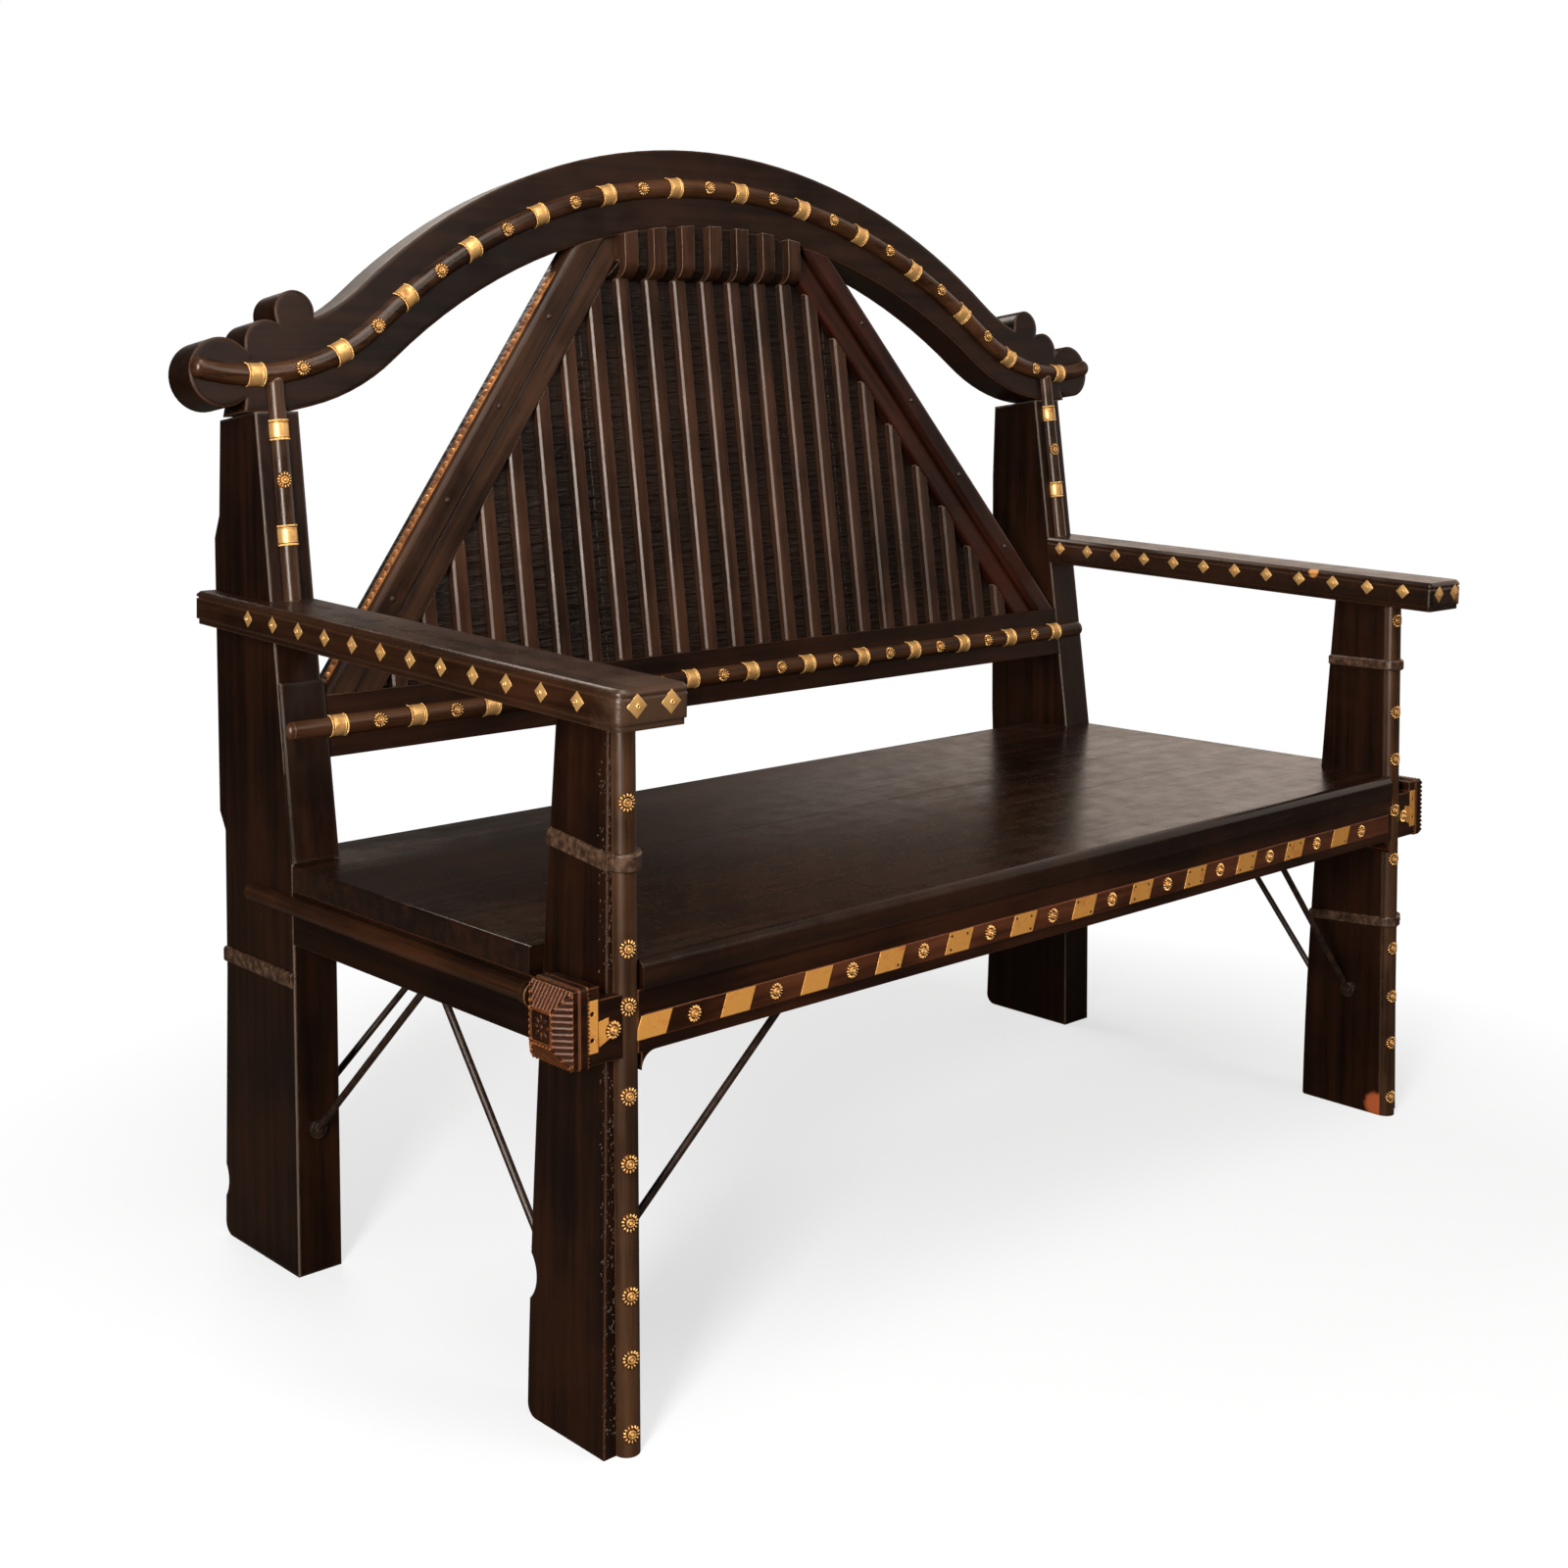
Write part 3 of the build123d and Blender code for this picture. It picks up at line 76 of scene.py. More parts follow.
# %% Camera
camera_place = Vector((-1.72695, -1.69545, 0.94551))
camera_turn, camera_tilt, camera_roll = radians(42.106), radians(3.353), radians(-0.213)

forward = Vector(
    (sin(camera_turn) * cos(camera_tilt), cos(camera_turn) * cos(camera_tilt), -sin(camera_tilt))
)
right = Vector((cos(camera_turn), -sin(camera_turn), 0))
up = right.cross(forward)
rolled_right = right * cos(camera_roll) + up * sin(camera_roll)
rolled_up = up * cos(camera_roll) - right * sin(camera_roll)

camera = bpy.data.objects.new("camera", bpy.data.cameras.new("camera"))
scene.collection.objects.link(camera)
scene.camera = camera
camera.matrix_world = Matrix.Translation(camera_place) @ Matrix(
    (rolled_right, rolled_up, -forward)
).transposed().to_4x4()
camera.data.sensor_width = 36
camera.data.lens = 47.486
camera.data.shift_x = 0.0191
camera.data.shift_y = -0.181
print("camera at", [round(x, 3) for x in camera_place])

# %% [markdown]
# ## Shader maths
# A material is a graph of nodes. Written as links, even `1 - mask` takes four lines, so a
# small class wraps an output socket and lets Python's operators add the Math nodes.


# %% Wires
class Wire:
    """An output socket that takes part in expressions."""

    def __init__(self, graph, socket):
        self.graph, self.socket = graph, socket

    def math(self, operation, *others):
        sockets = dict(enumerate((self, *others)))
        return self.graph.node("ShaderNodeMath", {"operation": operation}, sockets)

    def __add__(self, other):
        return self.math("ADD", other)

    def __sub__(self, other):
        return self.math("SUBTRACT", other)

    def __rsub__(self, other):
        sockets = {0: other, 1: self}
        return self.graph.node("ShaderNodeMath", {"operation": "SUBTRACT"}, sockets)

    def __mul__(self, other):
        return self.math("MULTIPLY", other)

    __radd__, __rmul__ = __add__, __mul__

    def above(self, low, high):
        """0 below low, 1 above high and smooth between."""
        sockets = {"Value": self, "From Min": low, "From Max": high}
        return self.graph.node("ShaderNodeMapRange", {"interpolation_type": "SMOOTHSTEP"}, sockets)


# %% [markdown]
# Any other node is added by one method, which takes the node's type, its settings and what
# goes into its sockets. The three short ones after it are for the nodes that come up most.


# %% Graphs
class Graph:
    """A node tree that starts empty."""

    def __init__(self, owner):
        owner.use_nodes = True
        self.tree = owner.node_tree
        self.tree.nodes.clear()

    def node(self, kind, settings=None, sockets=None, out=0):
        """Adds a node: its settings first, then values or wires for its sockets."""
        made = self.tree.nodes.new(kind)
        for key, value in (settings or {}).items():
            setattr(made, key, value)
        for key, value in (sockets or {}).items():
            if isinstance(value, Wire):
                self.tree.links.new(value.socket, made.inputs[key])
            else:
                made.inputs[key].default_value = value
        return Wire(self, made.outputs[out]) if len(made.outputs) else made

    def mix(self, share, first, second):
        """A colour between two colours."""
        return self.node(
            "ShaderNodeMix", {"data_type": "RGBA"}, {0: share, 6: first, 7: second}, out=2
        )

    def noise(self, where, scale, detail=4, roughness=0.55):
        sockets = {"Vector": where, "Scale": scale, "Detail": detail, "Roughness": roughness}
        return self.node("ShaderNodeTexNoise", None, sockets)

    def vectors(self, operation, first, second, out=0):
        """Vector Math. Output 0 is a vector, and output 1 a number."""
        settings = {"operation": operation}
        return self.node("ShaderNodeVectorMath", settings, {0: first, 1: second}, out)


# %% [markdown]
# A finish is the graph of one material. Nearly every finish of the bench reads a place,
# wears along the edges, has a bump and ends in a Principled shader. Node groups could hold
# these parts too, but methods keep each finish in one readable expression.


# %% Finishes
class Finish(Graph):
    """The graph of one material."""

    def __init__(self, name):
        self.material = bpy.data.materials.new(name)
        super().__init__(self.material)

    def place(self):
        return self.node("ShaderNodeTexCoord", out="Object")

    def rounded_edges(self, radius):
        """A rounded normal, and a mask that is 1 where the rounding bends it most."""
        rounded = self.node("ShaderNodeBevel", {"samples": 6}, {"Radius": radius})
        true = self.node("ShaderNodeNewGeometry", out="True Normal")
        facing = self.vectors("DOT_PRODUCT", rounded, true, out=1)
        return rounded, (1 - facing).above(0.01, 0.2)

    def bump(self, height, depth, strength, normal):
        sockets = {"Height": height, "Distance": depth, "Strength": strength, "Normal": normal}
        return self.node("ShaderNodeBump", None, sockets)

    def surface(self, settings):
        """The surface itself, with the settings of its Principled shader."""
        shader = self.node("ShaderNodeBsdfPrincipled", None, settings)
        self.node("ShaderNodeOutputMaterial", None, {"Surface": shader})
        return self.material


def colour(red, green, blue):
    return (red, green, blue, 1)


print("parts of a finish:", [name for name in vars(Finish) if name[0] != "_"])

# %% [markdown]
# ## Backdrop
# The picture has a white ground, so the world is plain white to the camera. If the bench
# saw that white all round, its black polish would turn grey. As a light and in reflections
# the world is therefore a dark room, lit only behind the bench on the right, and slightly
# warm: only the seat and the arms mirror that side. Light Path's Is Camera Ray keeps the
# two apart.

# %% World
white = colour(1, 1, 1)
world = bpy.data.worlds.new("studio")
scene.world = world
studio = Graph(world)
direction = studio.node("ShaderNodeTexCoord", out="Generated")
lit_side = studio.vectors("DOT_PRODUCT", direction, (1, 0.05, 0), out=1)
glow = studio.node(
    "ShaderNodeMapRange",
    {"interpolation_type": "SMOOTHSTEP"},
    {"Value": lit_side, "From Min": 0.64, "From Max": 0.86, "To Min": 0.07, "To Max": 1.05},
)
seen_directly = studio.node("ShaderNodeLightPath", out="Is Camera Ray")
strength = seen_directly.math("MAXIMUM", glow)
tint = studio.mix(seen_directly, colour(1, 0.82, 0.7), white)
background = studio.node("ShaderNodeBackground", None, {"Color": tint, "Strength": strength})
studio.node("ShaderNodeOutputWorld", None, {"Surface": background})
print("world nodes:", len(studio.tree.nodes))

# %% [markdown]
# ## Floor
# The floor is a sheet of pale paper. A shadow catcher could stand in for it, but a sheet
# that fades into the white further out keeps the bench's shadow and shows no horizon. It is
# slightly blue, because the lamps are slightly yellow. The bench sees the same floor as a
# dark one, for the same reason as the world.

# %% Floor
floor_mesh = bmesh.new()
bmesh.ops.create_grid(floor_mesh, x_segments=1, y_segments=1, size=9)
floor = bpy.data.objects.new("floor", bpy.data.meshes.new("floor"))
floor_mesh.to_mesh(floor.data)
floor_mesh.free()
scene.collection.objects.link(floor)

paper = Finish("floor_paper")
distance = paper.node("ShaderNodeVectorMath", {"operation": "LENGTH"}, {0: paper.place()}, out=1)
sheet = paper.node("ShaderNodeBsdfDiffuse", None, {"Color": colour(0.78, 0.866, 0.97)})
shade = paper.node("ShaderNodeBsdfDiffuse", None, {"Color": colour(0.1, 0.09, 0.08)})
glare = paper.node("ShaderNodeEmission", None, {"Color": white, "Strength": 1.0})
least_glare, fade_start, fade_end = 0.66, 0.7, 1.9
fade = (distance.above(fade_start, fade_end) + least_glare).math("MINIMUM", 1.0)
lit = paper.node("ShaderNodeMixShader", None, {0: fade, 1: sheet, 2: glare})
seen_directly = paper.node("ShaderNodeLightPath", out="Is Camera Ray")
either = paper.node("ShaderNodeMixShader", None, {0: seen_directly, 1: shade, 2: lit})
paper.node("ShaderNodeOutputMaterial", None, {"Surface": either})
floor.data.materials.append(paper.material)
print("floor size:", [round(side, 1) for side in floor.dimensions])

# %% [markdown]
# ## Lamps
# The photograph has its long highlights on the left sides of the beads, so one tall lamp
# stands there. Spot lamps would make small hard highlights, and these are rectangles, as
# soft boxes are. Weaker ones above, in front and behind soften the shadows.


# %% Lamps
def lamp(name, place, aim, width, height, watts):
    light = bpy.data.lights.new(name, "AREA")
    light.shape = "RECTANGLE"
    light.size, light.size_y, light.energy = width, height, watts
    light.color = (1, 0.9, 0.8)
    holder = bpy.data.objects.new(name, light)
    scene.collection.objects.link(holder)
    direction = Vector(aim) - Vector(place)
    holder.matrix_world = (
        Matrix.Translation(place) @ direction.to_track_quat("-Z", "Y").to_matrix().to_4x4()
    )


lamp("lamp_left", (-2.5, -1.5, 1.3), (0, 0.1, 0.8), 0.5, 1.8, 120)
lamp("lamp_top", (-0.5, -0.9, 3.0), (0, 0, 0.5), 1.6, 1.6, 45)
lamp("lamp_front", (0.9, -3.2, 2.7), (0, 0, 0.5), 1.0, 1.0, 30)
lamp("lamp_back", (0.3, 2.6, 3.2), (0, 0.3, 0.6), 1.5, 1.5, 60)

# %% [markdown]
# ## Dark wood
# The wood is a dense hardwood, stained nearly black and polished by hands. Close up it has
# long brown streaks and fine pores, and the stain is rubbed off along the edges. A picture
# of wood could be wrapped round each board, but noise in Object coordinates runs through a
# board as grain does and needs no unwrapping. For a CAD node these are the bench's own
# metres. They are turned so that the grain runs along Z, and then squeezed across it.

# %% Directions of the grain
back_rake = radians(7.43)
panel_lean = atan(0.777)
along = {
    "x": (0, radians(-90), 0),
    "y": (radians(90), 0, 0),
    "z": (0, 0, 0),
    "raked": (back_rake, 0, 0),
    "leaning_left": (back_rake, -panel_lean, 0),
    "leaning_right": (back_rake, panel_lean, 0),
}
streak_squeeze = (75, 75, 3.0)
pore_squeeze = (480, 480, 18)
cut_squeeze = (24, 24, 130)
pore_black = colour(0.002, 0.001, 0.0005)
print("the panel's battens lean", round(degrees(panel_lean), 1), "degrees")

# %% [markdown]
# Some places differ, such as a chip of old orange paint or an end that hands have rubbed
# brown. Each is a soft ball around a point, with its rim broken up by noise. Painting them
# on a texture would need the unwrapping again.


# %% Spots
def spotted(finish, base, place, smudges, spots):
    """Paints balls of other colours over the base."""
    for middle, radius, shade, strength in spots:
        away = finish.vectors("DISTANCE", place, middle, out=1)
        ragged = away + (smudges - 0.5) * radius
        inside = 1 - ragged.above(0.6 * radius, radius)
        base = finish.mix(inside * strength, base, colour(*shade))
    return base


# %% [markdown]
# One function makes all the woods. They differ in the way their grain runs, in how brown
# they are and in how much they shine. A Bevel node rounds the corners of the CAD solids in
# the shading and tells where they are, for the pale edge colour. That colour is rubbed wear,
# and on the slats, the posts and the carving also a painted highlight. That costs no faces,
# while real bevels on all those boards would.


# %% Wood
def wood(
    name, grain, dark, light, worn, gloss, edge_share=1.0, edge=2.5, marks=0.0, relief=0.5, spots=()
):
    """Stained hardwood. gloss is from 0, dull, to 1, polished. marks are chisel marks."""
    finish = Finish(name)
    place = finish.place()
    here = place
    if any(along[grain]):
        here = finish.node("ShaderNodeMapping", None, {"Vector": place, "Rotation": along[grain]})
    streaks = finish.noise(finish.vectors("MULTIPLY", here, streak_squeeze), 1, 6, 0.62)
    pores = finish.noise(finish.vectors("MULTIPLY", here, pore_squeeze), 1, 3)
    patches = finish.noise(here, 6, 4)
    smudges = finish.noise(here, 30, 5, 0.65)

    tone = (streaks * 0.8 + patches * 0.75).above(0.55, 1.02)
    stained = finish.mix(tone, colour(*dark), colour(*light))
    stained = finish.mix(pores.above(0.6, 0.72) * 0.7, stained, pore_black)
    rounded, edges = finish.rounded_edges(edge * MM)
    # The pale edge colour is rubbed wear, and on the slats, the posts and the carving also a
    # painted highlight.
    rubbed_and_highlit = (edges * 0.9 + smudges * 0.6).above(0.72, 1.15) * edge_share
    painted = finish.mix(rubbed_and_highlit, stained, colour(*worn))
    painted = spotted(finish, painted, place, smudges, spots)

    height = streaks * 0.45 + pores * 0.2 + smudges * 0.35 + patches * 1.2
    if marks:
        cuts = finish.noise(finish.vectors("MULTIPLY", here, cut_squeeze), 1, 4, 0.65)
        height = height + cuts.above(0.35, 0.7) * marks
    rough = smudges * 0.28 + streaks * 0.18 + patches * 0.12 + (0.22 - 0.24 * gloss)
    return finish.surface(
        {
            "Base Color": painted,
            "Roughness": rough,
            "Specular IOR Level": 0.06 + 0.44 * gloss**2,
            "Normal": finish.bump(height, 0.8 * MM, relief, rounded),
        }
    )


# %% [markdown]
# ## Woods of the frame
# The frame, the legs, the posts and the crest share one black stain, and only their edges
# differ: on most the pale edge colour is rubbed wear, and on the posts its grey is partly
# rubbed wear and partly a painted sheen. The beam is a little browner. A strip of reddish
# brown runs along it behind the brass plates. The black stain is written once and handed to
# each wood that has it, so that one change darkens them all.

# %% Frame woods
ebony = {"dark": (0.003, 0.0009, 0.0004), "light": (0.017, 0.0055, 0.002)}
orange_paint = (0.4, 0.1, 0.035)
leg_spots = (((0.612, -0.3, 0.012), 0.02, orange_paint, 0.9),)
timber = {
    "frame_x": wood("frame_x", "x", **ebony, worn=(0.08, 0.03, 0.015), gloss=0.5, edge_share=0.6),
    "frame_y": wood(
        "frame_y", "y", (0.0025, 0.0007, 0.0003), (0.011, 0.0034, 0.0012), (0.07, 0.03, 0.015), 0.5
    ),
    "beam": wood(
        "beam", "x", (0.005, 0.0016, 0.0006), (0.028, 0.009, 0.0035), (0.14, 0.05, 0.02), 0.6
    ),
    "beam_band": wood(
        "beam_band", "x", (0.012, 0.0035, 0.0015), (0.1, 0.032, 0.014), (0.3, 0.12, 0.06), 0.5
    ),
    "leg": wood(
        "leg", "z", **ebony, worn=(0.08, 0.035, 0.02), gloss=0.6, edge_share=0.7, edge=5, spots=leg_spots
    ),
    # The posts' grey edge colour is partly rubbed wear and partly a painted sheen.
    "post": wood("post", "z", **ebony, worn=(0.14, 0.11, 0.09), gloss=0.65, edge=6),
    "crest": wood(
        "crest", "x", **ebony, worn=(0.09, 0.045, 0.027), gloss=0.65, edge_share=0.7, edge=7
    ),
}
print("frame woods:", list(timber))

# %% [markdown]
# ## Seat and arms
# The seat and the arms' tops are polished by use, so they are the glossiest. On the front
# ends of the arms the stain is rubbed off in patches. These are spots and not edge wear,
# because they lie where hands rest, and not along every edge.

# %% Seat and arm woods
arm_spots = (
    ((0.601, -0.2, 0.694), 0.008, (0.6, 0.28, 0.09), 0.9),
    ((0.675, -0.362, 0.672), 0.02, (0.3, 0.11, 0.035), 0.8),
    ((-0.62, -0.366, 0.67), 0.07, (0.06, 0.035, 0.022), 0.7),
)
timber["seat"] = wood(
    "seat", "x", **ebony, worn=(0.05, 0.02, 0.01), gloss=1.0, edge_share=0.5, edge=0.6, relief=0.12
)
timber["arm"] = wood(
    "arm",
    "y",
    dark=(0.005, 0.0017, 0.0007),
    light=(0.028, 0.01, 0.004),
    worn=(0.14, 0.07, 0.035),
    gloss=0.9,
    edge_share=0.45,
    edge=4,
    spots=arm_spots,
)
print("spots on the arms:", len(arm_spots))

# %% [markdown]
# ## Mouldings
# The half-round beads and the rods are of a browner wood, waxed to a soft shine. One finish
# could serve them all, but its grain would run across the mouldings that go another way.
# So there is one for each direction.

# %% Moulding woods
bead_stains = {  # dark, light, worn and gloss
    "x": ((0.011, 0.004, 0.0016), (0.07, 0.029, 0.012), (0.17, 0.09, 0.045), 0.85),
    "y": ((0.007, 0.0025, 0.001), (0.04, 0.014, 0.005), (0.2, 0.1, 0.045), 0.8),
    "z": ((0.011, 0.0045, 0.002), (0.06, 0.028, 0.013), (0.24, 0.15, 0.09), 0.85),
}
for grain, look in bead_stains.items():
    timber[f"bead_{grain}"] = wood(f"bead_{grain}", grain, *look)
print("moulding woods:", len(bead_stains))

# %% [markdown]
# ## Back panel and carving
# The slats have pale edges, partly rubbed wear and partly a painted highlight, which the
# lamp on the left brings out on their left sides. The floor between them is black and still
# shows the cuts of a gouge. The right battens keep traces of a red paint that the left ones
# have lost. The carved ends of the beam are reddish, and their ridges are painted pale
# orange, partly as wood worn bare and partly as a painted highlight. Small cuts can be left
# to the bump of the finish, but the long ones are modelled further on.

# %% Panel woods
# The fourth entry is the edge colour: rubbed wear, and on the slats and the carving also a painted
# highlight.
panel_looks = {  # grain, dark, light, worn and gloss
    "slat": ("raked", (0.009, 0.0034, 0.0016), (0.05, 0.02, 0.01), (0.4, 0.31, 0.24), 0.75),
    "ground": (
        "raked",
        (0.0022, 0.0009, 0.0005),
        (0.013, 0.0055, 0.0028),
        (0.05, 0.03, 0.02),
        0.8,
    ),
    "batten_left": (
        "leaning_left",
        (0.008, 0.0032, 0.0015),
        (0.045, 0.02, 0.01),
        (0.18, 0.1, 0.06),
        0.7,
    ),
    "batten_right": (
        "leaning_right",
        (0.006, 0.0015, 0.0008),
        (0.034, 0.008, 0.004),
        (0.16, 0.055, 0.03),
        0.7,
    ),
    # The carving's pale orange edge colour is partly wood worn bare and partly a painted
    # highlight.
    "carving": ("y", (0.009, 0.002, 0.0006), (0.048, 0.012, 0.0035), (0.45, 0.16, 0.05), 0.75),
}
panel_extras = {
    "slat": {"edge": 1.1, "relief": 0.35},
    "ground": {"marks": 3.0},
    "carving": {"edge": 1.5},
}
for name, look in panel_looks.items():
    timber[name] = wood(name, *look, **panel_extras.get(name, {}))
print("woods:", sorted(timber))

# %% [markdown]
# ## Brass
# The brass is thin stamped sheet. It is bright where it is rubbed, and brown where wax and
# dirt have stayed. A plain yellow metal would look new, so a cloud of noise chooses between
# the two, and the brown parts are rougher and less metallic.


# %% Brass
def brass(name, bright, tarnish, rough, dirt, metal=0.6):
    """Worn sheet brass. dirt is how much of it is brown."""
    finish = Finish(name)
    here = finish.place()
    cloud = finish.noise(here, 60, 5, 0.6)
    specks = finish.noise(here, 420, 3)
    rounded, edges = finish.rounded_edges(0.7 * MM)
    clean = (cloud * 0.9 + specks * 0.12 + edges * 0.25).above(dirt, dirt + 0.22)
    return finish.surface(
        {
            "Base Color": finish.mix(clean, colour(*tarnish), colour(*bright)),
            "Metallic": clean * 0.35 + metal,
            "Roughness": rough + (1 - clean) * 0.25,
            "Normal": finish.bump(cloud + specks, 0.3 * MM, 0.2, rounded),
        }
    )


stud_brass = brass("stud_brass", (0.84, 0.52, 0.2), (0.32, 0.14, 0.04), 0.42, 0.3, 0.4)
dark_brass = brass("dark_brass", (0.12, 0.045, 0.012), (0.02, 0.008, 0.003), 0.5, 0.4)
plate_brass = brass("plate_brass", (0.72, 0.36, 0.085), (0.4, 0.15, 0.03), 0.4, 0.3, 0.1)
strip_brass = brass("strip_brass", (0.52, 0.23, 0.075), (0.12, 0.04, 0.013), 0.42, 0.42, 0.4)
stamped = (stud_brass, dark_brass)
print("a stud is of", [coat.name for coat in stamped])

# %% [markdown]
# ## Iron, hide and filler
# The stays are forged iron, nearly black, and the straps round the legs are hide that has
# dried as hard as the wood. The old filler beside the front beads is grey. All three are
# dull and mottled, so one function makes them.


# %% Iron, hide and filler
def dull(name, dark, light, rough, grain):
    """A mottled, dark and slightly rough surface."""
    finish = Finish(name)
    cloud = finish.noise(finish.place(), grain, 5, 0.6)
    rounded, edges = finish.rounded_edges(1.2 * MM)
    tone = finish.mix((cloud + edges * 0.3).above(0.35, 0.8), colour(*dark), colour(*light))
    bumped = finish.bump(cloud, 0.5 * MM, 0.5, rounded)
    return finish.surface(
        {"Base Color": tone, "Roughness": rough + cloud * 0.2, "Normal": bumped}
    )


stay_iron = dull("stay_iron", (0.008, 0.004, 0.0025), (0.04, 0.02, 0.012), 0.3, 90)
strap_hide = dull("strap_hide", (0.02, 0.01, 0.006), (0.12, 0.07, 0.045), 0.22, 120)
filler = dull("filler", (0.01, 0.006, 0.004), (0.08, 0.062, 0.05), 0.34, 300)
print("materials:", len(bpy.data.materials))

# %% [markdown]
# ## A finish for each CAD node
# Most nodes keep their shape and only get a finish. The first words of a node's name that
# are found in the table say which, so a pair such as the left and right legs needs one line.
# What isn't in the table is a stud, a band or a diamond.

# %% Dress the CAD nodes
finishes = {
    "front_leg": timber["leg"],
    "back_leg": timber["post"],
    "front_beam": timber["beam"],
    "back_rail": timber["frame_x"],
    "lower_back_rail": timber["frame_x"],
    "crest_rail": timber["crest"],
    "seat_bearers": timber["frame_y"],
    "side_apron": timber["frame_y"],
    "seat_board": timber["seat"],
    "arm_left": timber["arm"],
    "arm_right": timber["arm"],
    "crest_bead": timber["bead_x"],
    "lower_rod": timber["bead_x"],
    "side_bead": timber["bead_y"],
    "leg_bead": timber["bead_z"],
    "post_rod": timber["bead_z"],
    "back_slats": timber["slat"],
    "cove_ribs": timber["slat"],
    "cove_board": timber["ground"],
    "panel_board": timber["ground"],
    "outer_batten_left": timber["batten_left"],
    "inner_batten_left": timber["batten_left"],
    "outer_batten_right": timber["batten_right"],
    "inner_batten_right": timber["batten_right"],
    "leg_collar": strap_hide,
    "front_stays": stay_iron,
    "back_stays": stay_iron,
    "stay_nails": stay_iron,
    "batten_nails": stay_iron,
    "beam_plates": plate_brass,
    "beam_end_plates": plate_brass,
    "edge_strip": strip_brass,
}


def finish_of(name):
    return next((finishes[key] for key in finishes if name.startswith(key)), stud_brass)


for name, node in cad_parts.items():
    node.data.materials.clear()
    node.data.materials.append(finish_of(name))
print("dressed", len(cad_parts), "nodes")

# %% [markdown]
# ## Faces of the bench
# The brass is set out on four flat faces: the raked front of the back, the fronts of the
# legs, the front of the beam and the arms. On each, X runs along the face, Y up it and Z
# out of it, as in the CAD model, and the numbers repeat those of that model.


# %% Faces
def plane(origin, across, outward):
    """Matrix of a plane from its X and Z directions, as in the CAD model."""
    across, outward = Vector(across).normalized(), Vector(outward).normalized()
    columns = Matrix((across, outward.cross(across), outward)).transposed()
    return Matrix.Translation(origin) @ columns.to_4x4()


def at(x, y, turn=0.0):
    return Matrix.Translation((x, y, 0)) @ Matrix.Rotation(turn, 4, "Z")


back_y, seat_top, front_y = 210.2, 440.0, -300.8
back_face = plane((0, back_y, seat_top), (1, 0, 0), (0, -cos(back_rake), sin(back_rake)))
leg_face = plane((0, front_y, 0), (1, 0, 0), (0, -1, 0))
beam_face = plane((0, front_y - 9, 0), (1, 0, 0), (0, -1, 0))


def up_rake(height):
    """Distance up the raked face at a height above the floor."""
    return (height - seat_top) / cos(back_rake)


print("the back starts at y", back_y, "and the legs' fronts at", front_y)

# %% [markdown]
# ## The crest's curve
# The bead of the crest follows an arch that runs into a hollow at each side. A curve object
# could carry the studs, but two circles that meet are quick to walk along, and give the same
# places as the CAD model. The studs are spaced evenly along them.

# %% Crest stations
bead_apex, bead_foot, bead_half_width = up_rake(1186), up_rake(952), 655
arch_share = 0.759
crest_turn = 2 * atan((bead_apex - bead_foot) / bead_half_width)
crest_radius = bead_half_width / sin(crest_turn)
crest_arch = crest_radius * arch_share
crest_hollow = crest_radius - crest_arch


def crest_station(distance):
    """Place on the crest's bead at a distance along it from the middle."""
    side = 1 if distance >= 0 else -1
    run = abs(distance)
    if run < crest_arch * crest_turn:
        angle = run / crest_arch
        x, y = crest_arch * sin(angle), bead_apex - crest_arch * (1 - cos(angle))
    else:
        angle = crest_turn - (run - crest_arch * crest_turn) / crest_hollow
        x = bead_half_width - crest_hollow * sin(angle)
        y = bead_foot + crest_hollow * (1 - cos(angle))
    return back_face @ at(side * x, y, -side * angle)


crest_length = crest_radius * crest_turn
steps = 13  # to each side
crest_places = [crest_station(step * crest_length / steps) for step in range(-steps, steps + 1)]
print("half of the crest's curve:", round(crest_length), "mm")

# %% [markdown]
# ## Stations on the straight pieces
# On the lower rod, the posts, the legs and the beam the studs stand in straight rows. On
# the legs they are unevenly spaced, so each leg has its own list of shares of its height.
# The studs on upright beads are turned a little outwards, as in the photograph.

# %% Straight stations
upright = pi / 2
rod_height, rod_pitch = 578.5, 49.25
post_x, post_band_heights, post_stud_height = 630.5, (893, 782), 840
leg_x, leg_height = 622, 653.98
leg_shares = {
    -1: (0.032, 0.135, 0.222, 0.322, 0.402, 0.494, 0.615, 0.693, 0.889),
    1: (0.038, 0.146, 0.238, 0.333, 0.509, 0.605, 0.705, 0.797, 0.975),
}
beam_stud_x, beam_run, beam_studs = -549, 1092, 12
beam_stud_height, end_stud_x, end_stud_height = 380, 641, 385


def rolled(angle):
    """A turn about a bead's own axis."""
    return Matrix.Rotation(radians(angle), 4, "X")


rail_places = [back_face @ at(step * rod_pitch, up_rake(rod_height)) for step in range(-12, 13)]
post_band_places = [
    back_face @ at(side * post_x, up_rake(height), upright)
    for side in (-1, 1)
    for height in post_band_heights
]
post_stud_places = [
    back_face @ at(side * post_x, up_rake(post_stud_height), upright) @ rolled(-14)
    for side in (-1, 1)
]
leg_places = [
    leg_face @ at(side * leg_x, share * leg_height, upright) @ rolled(-16)
    for side, shares in leg_shares.items()
    for share in shares
]
beam_xs = [beam_stud_x + step * beam_run / (beam_studs - 1) for step in range(beam_studs)]
beam_places = [beam_face @ at(x, beam_stud_height) for x in beam_xs]
beam_end_places = [beam_face @ at(side * end_stud_x, end_stud_height) for side in (-1, 1)]
print("studs:", len(crest_places + rail_places + leg_places + beam_places))

# %% [markdown]
# ## A new piece
# A new piece is modelled in millimetres, so that its numbers are those of the bench, and
# made smaller only at the end. It rides on the bench's one body, takes the place of the CAD
# nodes that it stands for, and keeps sharp only the edges of more than 35 degrees.


